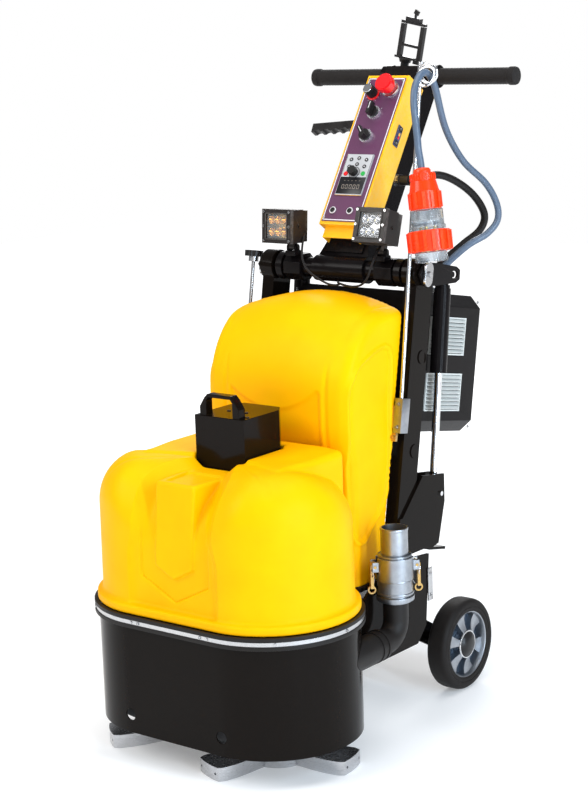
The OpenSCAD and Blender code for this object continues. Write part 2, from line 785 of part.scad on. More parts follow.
module keypad_knob() color([0.12,0.12,0.14]) in_handle() on_panel(knob_at) {
  rod_y(3, -70, -60);
  difference() {
    rod_y(10, -82, -68.6);
    ring_y(8) translate([11.4,0,0]) rod_y(2.2, -83, -67, $fn=16);
  }
}
module speed_knob() color([0.08,0.08,0.09]) in_handle() on_panel(speed_at) {
  rod_y(3, -70, -45);
  difference() {
    rod_y(12, -90, -67.2);
    ring_y(10) translate([13.2,0,0]) rod_y(1.9, -91, -66, $fn=24);
  }
}
module estop_button() color([0.9,0.03,0.03]) in_handle() on_panel(estop_at) {
  rod_y(7, -82, -45);
  rod_y(16, -90, -80);
  rod_y(20.5, -102, -89.9);
  rod_y(18, -104, -101.9);
}
module selector(place, turn) color([0.07,0.07,0.08])
  in_handle() on_panel(place) rotate([0,turn,0]) {
    rod_y(7, -75, -50);
    rod_y(12.4, -80, -74.9);
    block([-4.5,4.5], [-92,-79.9], [-16,12]);
  }
module selector_upper() selector(upper_at, 180);
module selector_lower() selector(lower_at, 140);

// ---------- pods on the pivot tube ----------
module in_pod(side, tilt)
  translate([side*pod_at[0],pod_at[1],pod_at[2]]) rotate([-tilt,0,0]) children();
module pod_brackets() color([0.07,0.07,0.08]) for (s=sides) {
  // eight-sided clamp
  at_pivot() difference() {
    rotate([22.5,0,0]) rod_x(31, s*96, s*140, $fn=8);
    rod_x(21.04, -200, 200);
  }
  // forked hinge
  in_pod(s, 0) difference() {
    union() {
      block([-13,13], [-12,12], [-18,-7.2]);
      block([-13,13], [-7,7], [-13,0]);
      rod_x(7, -13, 13);
    }
    rod_x(3.04, -20, 20);
    block([-7.1,7.1], [-22,22], [-7.2,22]);
  }
}
module pod(side, tilt) color([0.08,0.07,0.08]) in_pod(side, tilt) {
  difference() {
    union() {
      rod_x(6.5, -6.9, 6.9);
      block([-6.9,6.9], [-6,6], [0,14]);
      block([-38,38], [-60,-50], [10,82]);
      block([-37,37], [-50.1,-14], [11,81]);
      // fins on their base
      for (i=[0:4]) block([-36.1+16*i,-28+16*i], [-14.1,2], [13,79]);
      block([-36,36], [-14.1,-8], [13,79]);
    }
    block([-27,27], [-61,-40], [20,72]);
    rod_x(3, -20, 20);
  }
  rod_x(3, -14.5, 14.5);
  for (x=[-34,34], z=[14,46,78]) translate([x,0,z]) rod_y(2.2, -61.6, -59.9, $fn=16);
  for (s=sides) translate([0,-28,46]) rod_x(3.6, s*36.9, s*39.5, $fn=24);
}
module lens(side, tilt) color([0.9,0.9,0.8,0.5])
  in_pod(side, tilt) block([-26.9,26.9], [-56,-53], [20.1,71.9]);
tilt_left = 4;
tilt_right = 17;
module pod_left() pod(-1, tilt_left);
module pod_right() pod(1, tilt_right);
module lens_left() lens(-1, tilt_left);
module lens_right() lens(1, tilt_right);

// ---------- phone holder ----------
clamp_z = 18.9;   // base of the clamp above the holder's origin
module in_phone() translate([-20,170,1339]) rotate([0,12,0]) children();
module phone_cradle() color([0.07,0.07,0.07]) in_phone() {
  rod_z(9, -6, 8);
  up(6) cylinder(r1=12, r2=15, h=8);
  block([-25,23], [-8,8], [14,19]);
  up(clamp_z) {
    block([-22,-12], [-5,5], [0,70]);
    block([30,40], [-5,5], [-12,70]);
    block([-22.1,40], [-4,4], [22,28]);
    block([22,40], [-4,4], [-12,-4.9]);
  }
}
module phone_jaw() color([0.08,0.08,0.08]) in_phone() up(clamp_z) {
  block([-22,40], [-5,5], [71,77]);
  block([-10,26], [-8,6], [77,86]);
  translate([10,0,0]) rod_z(3, 85.9, 93.9, $fn=24);
  translate([10,0,93]) rotate([0,20,0]) block([-6,6], [-2,2], [0,10]);
}

deck_plate();
skirt();
bumper_ring();
bumper_strip();
front_cover();
rear_cover();
chassis_frame();
mast_columns();
strut_rods();
cabinet();
cabinet_louvres();
inverter();
motor();
gear_case();
dust_elbow();
camlock_socket();
hose_tail();
cable_mast();
supply_cable();
control_cable();
plug_shell();
plug_inner();
plug_ring();
cam_arm_front();
cam_arm_rear();
cover_screw();
tyre_left();
rim_left();
tyre_right();
rim_right();
plate_left();
plate_right();
spindle_left();
spindle_right();
motor_pulley();
weight_block();
pivot_tube();
handle_frame();
grips();
control_box();
fascia();
control_bezels();
keypad();
pod_brackets();
estop_button();
speed_knob();
selector_upper();
selector_lower();
keypad_knob();
key_run();
key_stop();
pod_left();
lens_left();
pod_right();
lens_right();
hand_lever();
phone_cradle();
phone_jaw();
strut_tube_left();
strut_tube_right();
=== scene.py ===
# A walk-behind floor machine: a yellow covered head inside a bumper ring, two wheels, a mast
# with a cabinet, and a tilted handle with a control box, grips and two work lights.
# X runs across (+X is "right"), the head points to -Y, Z is up and the floor is at z = 0.
# The scene is in metres. Sizes and places in this script are in millimetres, angles in degrees,
# unless a comment says otherwise.
import json
from math import cos, pi, radians, sin, tau

import bmesh
import bpy
import numpy as np
from mathutils import Matrix, Vector


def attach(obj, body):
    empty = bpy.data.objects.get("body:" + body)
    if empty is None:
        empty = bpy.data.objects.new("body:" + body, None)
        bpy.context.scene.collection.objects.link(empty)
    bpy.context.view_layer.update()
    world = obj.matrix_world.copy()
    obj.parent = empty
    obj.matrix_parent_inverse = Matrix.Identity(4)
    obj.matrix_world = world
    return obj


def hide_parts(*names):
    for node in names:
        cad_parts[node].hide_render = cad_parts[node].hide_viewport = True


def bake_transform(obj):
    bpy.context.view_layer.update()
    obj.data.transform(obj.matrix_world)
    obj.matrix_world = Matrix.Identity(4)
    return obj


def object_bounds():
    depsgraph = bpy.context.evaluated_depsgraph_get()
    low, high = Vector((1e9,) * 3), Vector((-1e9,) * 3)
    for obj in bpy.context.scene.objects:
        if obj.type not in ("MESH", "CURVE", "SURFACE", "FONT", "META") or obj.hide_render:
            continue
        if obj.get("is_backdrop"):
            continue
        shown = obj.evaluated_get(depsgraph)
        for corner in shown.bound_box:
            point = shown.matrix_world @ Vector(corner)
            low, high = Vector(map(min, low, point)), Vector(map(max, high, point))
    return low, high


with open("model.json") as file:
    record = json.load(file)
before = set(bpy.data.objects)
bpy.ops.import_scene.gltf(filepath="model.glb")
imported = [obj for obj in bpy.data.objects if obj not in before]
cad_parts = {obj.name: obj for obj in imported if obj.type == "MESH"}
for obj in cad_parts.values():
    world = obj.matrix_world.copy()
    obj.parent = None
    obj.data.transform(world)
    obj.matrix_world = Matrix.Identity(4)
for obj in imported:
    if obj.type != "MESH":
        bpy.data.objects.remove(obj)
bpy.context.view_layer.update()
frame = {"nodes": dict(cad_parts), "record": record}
NODES = frame["nodes"]
SIDES = (("left", -1), ("right", 1))

# The bumper ring and front cover share an obround plan: two half circles about (+-RING_HALF, RING_Y)
RING_HALF = 112.0
RING_Y = -533
AXLE_Z = 100
PIVOT_Y, PIVOT_Z = -106, 924
MAST_TILT = -10.43


# ---------------------------------------------------------------- local frames
def tilted(origin, *turns):
    """Frame at origin, turned by each (angle, axis) in order."""
    matrix = Matrix.Translation(Vector(origin) / 1000)
    for angle, axis in turns:
        matrix = matrix @ Matrix.Rotation(radians(angle), 4, axis)
    return matrix


def place(base, x, y, z, turn=0, axis='X'):
    """Matrix for a spot in the base frame, turned about one axis."""
    spot = Matrix.Translation((x / 1000, y / 1000, z / 1000))
    return base @ spot @ Matrix.Rotation(radians(turn), 4, axis)


def facing(base, x, y, z):
    """A spot whose +Z points along the base frame's -Y, out of a panel."""
    return place(base, x, y, z, 90)


WORLD = Matrix.Identity(4)
HANDLE = tilted((0, PIVOT_Y, PIVOT_Z), (-33.3, 'X'))
MAST = tilted((0, -128, 911), (MAST_TILT, 'X'))
CAMLOCK = tilted((250, -303, 0), (-45, 'Z'))
PLUG = tilted((248, -160, 1063), (-9.9, 'Y'), (-5.3, 'X'))
PODS = {"left": tilted((-116, -128, 968), (-4, 'X')),
        "right": tilted((116, -128, 968), (-17, 'X'))}


# ---------------------------------------------------------------- materials
def material(name, base, alt, rough,
             rough_var=0.08,                    # swing of the roughness
             grain=40, patch=3.0, patch_amount=0.25,    # fine and broad scales of colour noise
             bump=0.08, bump_scale=900, bump_depth=0.0004,  # depth in metres
             cells=None,                        # scale of a cell pattern in the bump
             stretch=(1, 1, 1),                 # of the noise, along x, y, z
             wear=None, wear_amount=0.0,        # colour and strength on convex edges
             metal=0.0, specular=0.5, coat=0.0, coat_rough=0.08, sheen=0.0, anisotropy=0.0,
             transmission=0.0, alpha=1.0, ior=1.5, subsurface=0.0,
             glow=None, glow_strength=0.0):
    """Principled material whose colour drifts between base and alt with noise."""
    made = bpy.data.materials.new(name)
    made.use_nodes = True
    nodes, link = made.node_tree.nodes, made.node_tree.links.new
    shader = nodes["Principled BSDF"]
    coords = nodes.new("ShaderNodeTexCoord")
    mapping = nodes.new("ShaderNodeMapping")
    mapping.inputs["Scale"].default_value = stretch
    link(coords.outputs["Object"], mapping.inputs["Vector"])

    def noise(scale, detail=4, roughness=0.55):
        node = nodes.new("ShaderNodeTexNoise")
        node.inputs["Scale"].default_value = scale
        node.inputs["Detail"].default_value = detail
        node.inputs["Roughness"].default_value = roughness
        link(mapping.outputs[0], node.inputs["Vector"])
        return node.outputs[0]

    def calc(operation, first, second, clamp=False):
        node = nodes.new("ShaderNodeMath")
        node.operation = operation
        node.use_clamp = clamp
        for i, value in enumerate((first, second)):
            if isinstance(value, (int, float)):
                node.inputs[i].default_value = value
            else:
                link(value, node.inputs[i])
        return node.outputs[0]

    def centred(value, gain):
        return calc('MULTIPLY', calc('SUBTRACT', value, 0.5), gain)

    fine, broad, relief = noise(grain), noise(patch, 3), noise(bump_scale, 3, 0.6)
    blend = nodes.new("ShaderNodeMix")
    blend.data_type = 'RGBA'
    blend.inputs[6].default_value = (*base, 1)
    blend.inputs[7].default_value = (*alt, 1)
    drift = calc('ADD', centred(fine, 1.2), centred(broad, 2.0 * patch_amount + 0.5))
    link(calc('ADD', drift, 0.35, True), blend.inputs[0])
    colour = blend.outputs[2]
    if wear:
        geometry = nodes.new("ShaderNodeNewGeometry")
        edges = nodes.new("ShaderNodeMapRange")
        edges.inputs[1].default_value = 0.53
        edges.inputs[2].default_value = 0.62
        link(geometry.outputs["Pointiness"], edges.inputs[0])
        scratches = calc('MULTIPLY', noise(160, 5, 0.7), 2.6)
        scratches = calc('SUBTRACT', scratches, 0.75, True)
        worn = calc('MULTIPLY', edges.outputs[0], scratches)
        worn = calc('MULTIPLY', worn, wear_amount, True)
        wear_mix = nodes.new("ShaderNodeMix")
        wear_mix.data_type = 'RGBA'
        link(worn, wear_mix.inputs[0])
        link(colour, wear_mix.inputs[6])
        wear_mix.inputs[7].default_value = (*wear, 1)
        colour = wear_mix.outputs[2]
    link(colour, shader.inputs["Base Color"])
    link(calc('ADD', centred(fine, rough_var * 2.4), rough, True), shader.inputs["Roughness"])
    if cells:
        voronoi = nodes.new("ShaderNodeTexVoronoi")
        voronoi.inputs["Scale"].default_value = cells
        link(coords.outputs["Object"], voronoi.inputs["Vector"])
        relief = calc('ADD', calc('MULTIPLY', voronoi.outputs["Distance"], 0.9),
                      calc('MULTIPLY', relief, 0.4))
    bump_node = nodes.new("ShaderNodeBump")
    bump_node.inputs["Strength"].default_value = bump
    bump_node.inputs["Distance"].default_value = bump_depth
    link(relief, bump_node.inputs["Height"])
    link(bump_node.outputs[0], shader.inputs["Normal"])
    for socket, value in (
            ("Metallic", metal), ("Coat Weight", coat), ("Coat Roughness", coat_rough),
            ("Specular IOR Level", specular), ("Transmission Weight", transmission),
            ("Alpha", alpha), ("Sheen Weight", sheen), ("Anisotropic", anisotropy),
            ("IOR", ior), ("Subsurface Weight", subsurface)):
        shader.inputs[socket].default_value = value
    if subsurface:
        shader.inputs["Subsurface Radius"].default_value = (0.004, 0.002, 0.0005)
    if glow:
        shader.inputs["Emission Color"].default_value = (*glow, 1)
        shader.inputs["Emission Strength"].default_value = glow_strength
    made.diffuse_color = (*base, 1)
    return made


# one material for each material slot of the product
MATERIALS = dict(
    steel_black=material(
        "gloss_black_powder", base=(0.0050, 0.0034, 0.0026), alt=(0.0058, 0.0040, 0.0030),
        rough=0.14, rough_var=0.02, coat=0.07, coat_rough=0.04, specular=0.05, bump=0.0,
        bump_scale=300, wear=(0.02, 0.016, 0.013), wear_amount=0.08),
    steel_satin=material(
        "satin_black_powder", base=(0.0048, 0.0038, 0.0042), alt=(0.0072, 0.0058, 0.0060),
        rough=0.24, rough_var=0.05, coat=0.03, coat_rough=0.12, specular=0.07, bump=0.04,
        bump_scale=700, bump_depth=0.0005, wear=(0.05, 0.045, 0.04), wear_amount=0.2),
    cover_yellow=material(
        "rotomoulded_yellow", base=(1.0, 0.50, 0.0), alt=(0.96, 0.42, 0.0), rough=0.46,
        rough_var=0.06, grain=14, patch=2.2, patch_amount=0.3, bump_scale=1300, specular=0.06,
        wear=(1.0, 0.55, 0.01), wear_amount=0.5),
    rubber_black=material(
        "black_rubber", base=(0.007, 0.0056, 0.005), alt=(0.012, 0.0095, 0.0085), rough=0.48,
        rough_var=0.10, bump=0.18, bump_scale=1500, bump_depth=0.0005, specular=0.25),
    tyre_black=material(
        "tyre_rubber", base=(0.008, 0.0062, 0.0056), alt=(0.014, 0.011, 0.0095), rough=0.62,
        rough_var=0.12, grain=90, bump=0.28, bump_scale=1100, bump_depth=0.0006, specular=0.2),
    stainless=material(
        "stainless_steel", base=(0.58, 0.58, 0.585), alt=(0.42, 0.42, 0.43), rough=0.26,
        rough_var=0.10, metal=1.0, grain=120, bump=0.05, bump_scale=1600, stretch=(1, 1, 9),
        anisotropy=0.4),
    bright_steel=material(
        "polished_steel", base=(0.78, 0.785, 0.80), alt=(0.60, 0.61, 0.63), rough=0.13,
        rough_var=0.06, metal=1.0, grain=90, bump=0.03, bump_scale=1500),
    aluminium=material(
        "machined_aluminium", base=(0.60, 0.60, 0.615), alt=(0.38, 0.385, 0.40), rough=0.26,
        rough_var=0.12, metal=1.0, grain=60, bump=0.12, bump_scale=260, bump_depth=0.0003,
        stretch=(1, 1, 16), anisotropy=0.5),
    cast_alu=material(
        "cast_aluminium", base=(0.40, 0.42, 0.45), alt=(0.24, 0.26, 0.29), rough=0.34,
        rough_var=0.12, metal=1.0, grain=75, bump=0.22, bump_depth=0.0005),
    cast_iron=material(
        "painted_cast_iron", base=(0.07, 0.075, 0.08), alt=(0.11, 0.11, 0.115), rough=0.55,
        rough_var=0.12, bump=0.35, bump_scale=500, bump_depth=0.0008),
    motor_grey=material(
        "motor_paint", base=(0.09, 0.13, 0.16), alt=(0.13, 0.17, 0.20), rough=0.42,
        rough_var=0.1, bump=0.25, bump_scale=600, bump_depth=0.0006,
        wear=(0.35, 0.36, 0.36), wear_amount=0.5),
    louvre_grey=material(
        "louvre_plastic", base=(0.62, 0.63, 0.60), alt=(0.50, 0.51, 0.49), rough=0.42,
        bump_scale=1200),
    inverter_grey=material(
        "inverter_plastic", base=(0.04, 0.04, 0.048), alt=(0.06, 0.06, 0.068), rough=0.5,
        bump=0.2, bump_scale=1300),
    box_yellow=material(
        "yellow_powder", base=(1.0, 0.52, 0.004), alt=(0.94, 0.43, 0.003), rough=0.34,
        rough_var=0.06, coat=0.08, coat_rough=0.15, specular=0.25, bump_scale=650,
        bump_depth=0.0005, wear=(0.7, 0.6, 0.35), wear_amount=0.4),
    fascia_purple=material(
        "printed_fascia", base=(0.115, 0.030, 0.088), alt=(0.090, 0.022, 0.070), rough=0.30,
        rough_var=0.05, coat=0.3, coat_rough=0.2, bump=0.05, bump_scale=1800, patch=9,
        patch_amount=0.15),
    keypad_silver=material(
        "keypad_plastic", base=(0.58, 0.59, 0.61), alt=(0.50, 0.51, 0.53), rough=0.33,
        rough_var=0.06, bump_scale=2200, metal=0.25),
    red_plastic=material(
        "red_plastic", base=(0.80, 0.006, 0.010), alt=(0.66, 0.004, 0.008), rough=0.24,
        rough_var=0.05, coat=0.4, coat_rough=0.1, bump=0.05, bump_scale=1500, subsurface=0.03),
    green_plastic=material(
        "green_plastic", base=(0.02, 0.42, 0.07), alt=(0.015, 0.34, 0.055), rough=0.28,
        rough_var=0.05, coat=0.3, bump=0.05, bump_scale=1500),
    orange_plastic=material(
        "orange_plastic", base=(0.95, 0.045, 0.002), alt=(0.82, 0.030, 0.002), rough=0.27,
        rough_var=0.06, coat=0.12, coat_rough=0.12, specular=0.25, bump_scale=1200,
        wear=(1.0, 0.14, 0.05), wear_amount=0.5),
    clear_plastic=material(
        "clear_polycarbonate", base=(0.74, 0.79, 0.83), alt=(0.66, 0.72, 0.77), rough=0.05,
        rough_var=0.03, transmission=0.92, alpha=0.72, bump=0.01, bump_scale=200, ior=1.25),
    lens_clear=material(
        "lens_clear", base=(0.97, 0.97, 0.95), alt=(0.94, 0.94, 0.92), rough=0.03,
        rough_var=0.02, bump=0.02, bump_scale=700, alpha=0.10),
    black_plastic=material(
        "black_plastic", base=(0.011, 0.010, 0.010), alt=(0.020, 0.018, 0.018), rough=0.30,
        rough_var=0.07, bump=0.12, bump_scale=1500, specular=0.3),
    pod_black=material(
        "anodised_black", base=(0.012, 0.009, 0.008), alt=(0.022, 0.017, 0.015), rough=0.36,
        specular=0.3, bump=0.22, bump_scale=1100, wear=(0.3, 0.28, 0.26), wear_amount=0.5),
    foam_black=material(
        "foam_grip", base=(0.008, 0.0062, 0.0056), alt=(0.014, 0.011, 0.010), rough=0.70,
        rough_var=0.10, bump=0.55, bump_scale=1400, bump_depth=0.0007, specular=0.2,
        sheen=0.06, cells=900),
    cable_grey=material(
        "cable_sheath", base=(0.085, 0.125, 0.185), alt=(0.060, 0.090, 0.140), rough=0.40,
        bump=0.10, bump_scale=1200, coat=0.15),
    zinc_yellow=material(
        "zinc_yellow", base=(0.55, 0.35, 0.11), alt=(0.42, 0.28, 0.13), rough=0.30,
        rough_var=0.10, metal=0.9, grain=70, bump=0.10),
)
# materials used beside the slots
PRINT_WHITE = material(
    "print_white", base=(0.80, 0.78, 0.80), alt=(0.72, 0.70, 0.72), rough=0.35,
    rough_var=0.04, bump=0.04, bump_scale=1600)
NAVY = material(
    "socket_navy", base=(0.02, 0.035, 0.11), alt=(0.03, 0.045, 0.13), rough=0.35,
    rough_var=0.06, bump_scale=1500)
DISPLAY_BLACK = material(
    "display_black", base=(0.006, 0.006, 0.008), alt=(0.010, 0.010, 0.012), rough=0.32,
    rough_var=0.03, coat=0.08, specular=0.3, bump=0.02)
SEGMENT = material(
    "display_segment", base=(0.30, 0.26, 0.22), alt=(0.24, 0.21, 0.18), rough=0.30,
    rough_var=0.03, glow=(0.7, 0.55, 0.42), glow_strength=0.12, bump=0.02, bump_scale=1500)
LED_CHIP = material(
    "led_chip", base=(0.95, 0.80, 0.18), alt=(0.90, 0.72, 0.12), rough=0.35, rough_var=0.05,
    bump=0.2, bump_scale=2500, glow=(1.0, 0.85, 0.35), glow_strength=0.15)
# both lights have the same reflectors; the left set is tinted warm as a painted warm reflection, the
# right set is plain silver
REFLECTORS = {
    "left": material(
        "reflector_painted_warm_reflection", base=(0.80, 0.52, 0.16), alt=(0.62, 0.36, 0.08), rough=0.16,
        rough_var=0.06, metal=1.0, bump=0.03, bump_scale=1500),
    "right": material(
        "reflector_silver", base=(0.66, 0.67, 0.70), alt=(0.44, 0.46, 0.50), rough=0.16,
        rough_var=0.06, metal=1.0, bump=0.03, bump_scale=1500)}
# dark blue-grey for the recessed rim dish in place of the cast alloy: painted shade in the recess
RIM_RECESS_SHADE = material(
    "rim_recess_painted_shade", base=(0.035, 0.055, 0.085), alt=(0.055, 0.075, 0.10), rough=0.40,
    rough_var=0.10, metal=0.5, bump=0.25, bump_depth=0.0005)
BRASS = material(
    "brass_pin", base=(0.80, 0.58, 0.22), alt=(0.66, 0.46, 0.16), rough=0.22, metal=1.0,
    bump=0.06, bump_scale=1500)


# ---------------------------------------------------------------- building objects
# A shape is (vertices in metres, faces).
def add_object(name, mesh, body, slot, surface=None, replaces=(), split=None):
    work = bmesh.new()
    work.from_mesh(mesh)
    bmesh.ops.recalc_face_normals(work, faces=work.faces)
    work.to_mesh(mesh)
    work.free()
    for face in mesh.polygons:
        face.use_smooth = True
    mesh.materials.append(surface or MATERIALS[slot])
    made = bpy.data.objects.new(name, mesh)
    bpy.context.scene.collection.objects.link(made)
    if split:
        made.modifiers.new("es", 'EDGE_SPLIT').split_angle = radians(split)
    if body:
        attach(made, body)
    if replaces:
        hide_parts(*replaces)
    return made


def piece(name, shapes, body, slot, surface=None, replaces=(), split=32):
    """One object from a list of shapes; its material is the slot's unless given."""
    verts, faces = [], []
    for shape_verts, shape_faces in shapes:
        first = len(verts)
        verts += shape_verts
        faces += [tuple(i + first for i in face) for face in shape_faces]
    mesh = bpy.data.meshes.new(name)
    mesh.from_pydata(verts, [], faces)
    mesh.validate()
    return add_object(name, mesh, body, slot, surface, replaces, split)


def moved(shape, matrix):
    verts, faces = shape
    return [tuple(matrix @ Vector(vert)) for vert in verts], faces


def all_moved(shapes, matrix):
    return [moved(shape, matrix) for shape in shapes]


def on_side(shape, sign, y=0, z=0):
    """A shape built at +X, mirrored for sign -1 and shifted in y and z."""
    verts, faces = shape
    return [(vert[0] * sign, vert[1] + y / 1000, vert[2] + z / 1000) for vert in verts], faces


def box(x0, x1, y0, y1, z0, z1, chamfer):
    """A box with chamfered edges."""
    work = bmesh.new()
    bmesh.ops.create_cube(work, size=1.0)
    for vert in work.verts:
        vert.co = Vector(((x0 + x1) / 2 + vert.co.x * (x1 - x0),
                          (y0 + y1) / 2 + vert.co.y * (y1 - y0),
                          (z0 + z1) / 2 + vert.co.z * (z1 - z0)))
    chamfer = min(chamfer, 0.45 * min(x1 - x0, y1 - y0, z1 - z0))
    bmesh.ops.bevel(work, geom=work.edges[:], offset=chamfer, segments=2, profile=0.5,
                    affect='EDGES')
    for vert in work.verts:
        vert.co /= 1000.0
    shape = ([tuple(vert.co) for vert in work.verts],
             [[vert.index for vert in face.verts] for face in work.faces])
    work.free()
    return shape


def lathe(profile, sides, axis='Z'):
    """Body of revolution about Z or X from (radius, place along the axis) points."""
    verts, faces, rings = [], [], []
    for radius, along in profile:
        count = 1 if radius < 1e-6 else sides
        rings.append(list(range(len(verts), len(verts) + count)))
        if count == 1:
            verts.append((0, 0, along / 1000))
        else:
            verts += [(radius * cos(tau * k / sides) / 1000,
                       radius * sin(tau * k / sides) / 1000, along / 1000)
                      for k in range(sides)]
    pairs = list(zip(rings[:-1], rings[1:]))
    if profile[0][0] > 1e-6:
        pairs.append((rings[-1], rings[0]))
    for low, high in pairs:
        if len(low) == 1 and len(high) == 1:
            continue
        for k in range(sides):
            after = (k + 1) % sides
            if len(low) == 1:
                faces.append((low[0], high[k], high[after]))
            elif len(high) == 1:
                faces.append((low[k], high[0], low[after]))
            else:
                faces.append((low[k], high[k], high[after], low[after]))
    if axis == 'X':
        verts = [(z, x, y) for x, y, z in verts]
    return verts, faces


def spline(points, per_span, closed=False):
    """Catmull-Rom curve through the points."""
    points = [np.array(point, float) for point in points]
    if closed:
        padded = [points[-1]] + points + [points[0], points[1]]
    else:
        padded = [2 * points[0] - points[1]] + points + [2 * points[-1] - points[-2]]
    curve = []
    for i in range(len(padded) - 3):
        before, start, end, after = padded[i:i + 4]
        for t in np.linspace(0, 1, per_span, endpoint=False):
            curve.append(0.5 * ((2 * start) + (end - before) * t
                                + (2 * before - 5 * start + 4 * end - after) * t * t
                                + (3 * start - before - 3 * end + after) * t ** 3))
    if not closed:
        curve.append(points[-1])
    return curve


def tube(points, radius, sides, per_span):
    """Capped round tube along a spline through the points."""
    path = spline(points, per_span)
    last = len(path) - 1
    tangents = []
    for i in range(last + 1):
        along = path[min(i + 1, last)] - path[max(i - 1, 0)]
        tangents.append(along / (np.linalg.norm(along) + 1e-12))
    normal = np.cross(tangents[0], [0.1, 0.2, 1.0])
    normal /= np.linalg.norm(normal)
    verts, faces = [], []
    for centre, tangent in zip(path, tangents):
        normal = normal - tangent * (normal @ tangent)
        normal /= np.linalg.norm(normal)
        binormal = np.cross(tangent, normal)
        for k in range(sides):
            angle = tau * k / sides
            rim = radius * (cos(angle) * normal + sin(angle) * binormal)
            verts.append(tuple((centre + rim) / 1000))
    for i in range(last):
        for k in range(sides):
            after = (k + 1) % sides
            faces.append((i * sides + k, i * sides + after,
                          (i + 1) * sides + after, (i + 1) * sides + k))
    faces.append(tuple(range(sides)))
    faces.append(tuple(range(last * sides, (last + 1) * sides)))
    return verts, faces


def screws(radius, height, places):
    """Socket head screws pointing along +Z of each place."""
    socket = radius * 0.5
    head = lathe([(0, 0), (radius, 0), (radius, height * 0.82), (radius * 0.93, height),
                  (socket, height), (socket, height * 0.45), (0, height * 0.40)], 24)
    return [moved(head, spot) for spot in places]


# ---------------------------------------------------------------- distance fields (mm)
# Fields are negative inside and take x, y, z arrays.
def ramp(t):
    """Smooth step from 0 to 1."""
    t = np.clip(t, 0, 1)
    return t * t * (3 - 2 * t)


def smooth_min(one, two, width):
    share = np.clip(0.5 + 0.5 * (two - one) / width, 0, 1)
    return two + (one - two) * share - width * share * (1 - share)


def smooth_max(one, two, width):
    return -smooth_min(-one, -two, width)


def bell(t):
    return np.exp(-t ** 2)


def corner(one, one_edge, one_round, two, two_edge, two_round):
    """Below both edges, with an elliptical corner between them."""
    u = np.maximum(one - (one_edge - one_round), 0) / one_round
    v = np.maximum(two - (two_edge - two_round), 0) / two_round
    small = min(one_round, two_round)
    rounded = (np.sqrt(u * u + v * v) - 1) * small
    flat = np.maximum(np.maximum(one - one_edge, two - two_edge), -small)
    return np.where((u > 0) | (v > 0), rounded, flat)


def dome_field(plan, wall, round_in, z, top, round_down):
    """A wall that curves over into a top, by distance in plan and height."""
    u = np.maximum(plan - (wall - round_in), 0) / round_in
    v = np.maximum(z - (top - round_down), 0) / round_down
    return np.where((u > 0) | (v > 0), (np.sqrt(u * u + v * v) - 1) * round_in, -round_in)


def polygon_distance(y, z, points):
    """Signed distance to a closed polygon in the y-z plane."""
    nearest, inside = np.inf, False
    for (y0, z0), (y1, z1) in zip(points, points[1:] + points[:1]):
        edge_y, edge_z = y1 - y0, z1 - z0
        off_y, off_z = y - y0, z - z0
        share = (off_y * edge_y + off_z * edge_z) / (edge_y * edge_y + edge_z * edge_z)
        share = np.clip(share, 0, 1)
        squared = (off_y - edge_y * share) ** 2 + (off_z - edge_z * share) ** 2
        nearest = np.minimum(nearest, squared)
        crossed = (z0 > z) != (z1 > z)
        inside = inside ^ (crossed & (y < edge_y * (z - z0) / (z1 - z0 + 1e-12) + y0))
    nearest = np.sqrt(nearest)
    return np.where(inside, -nearest, nearest)


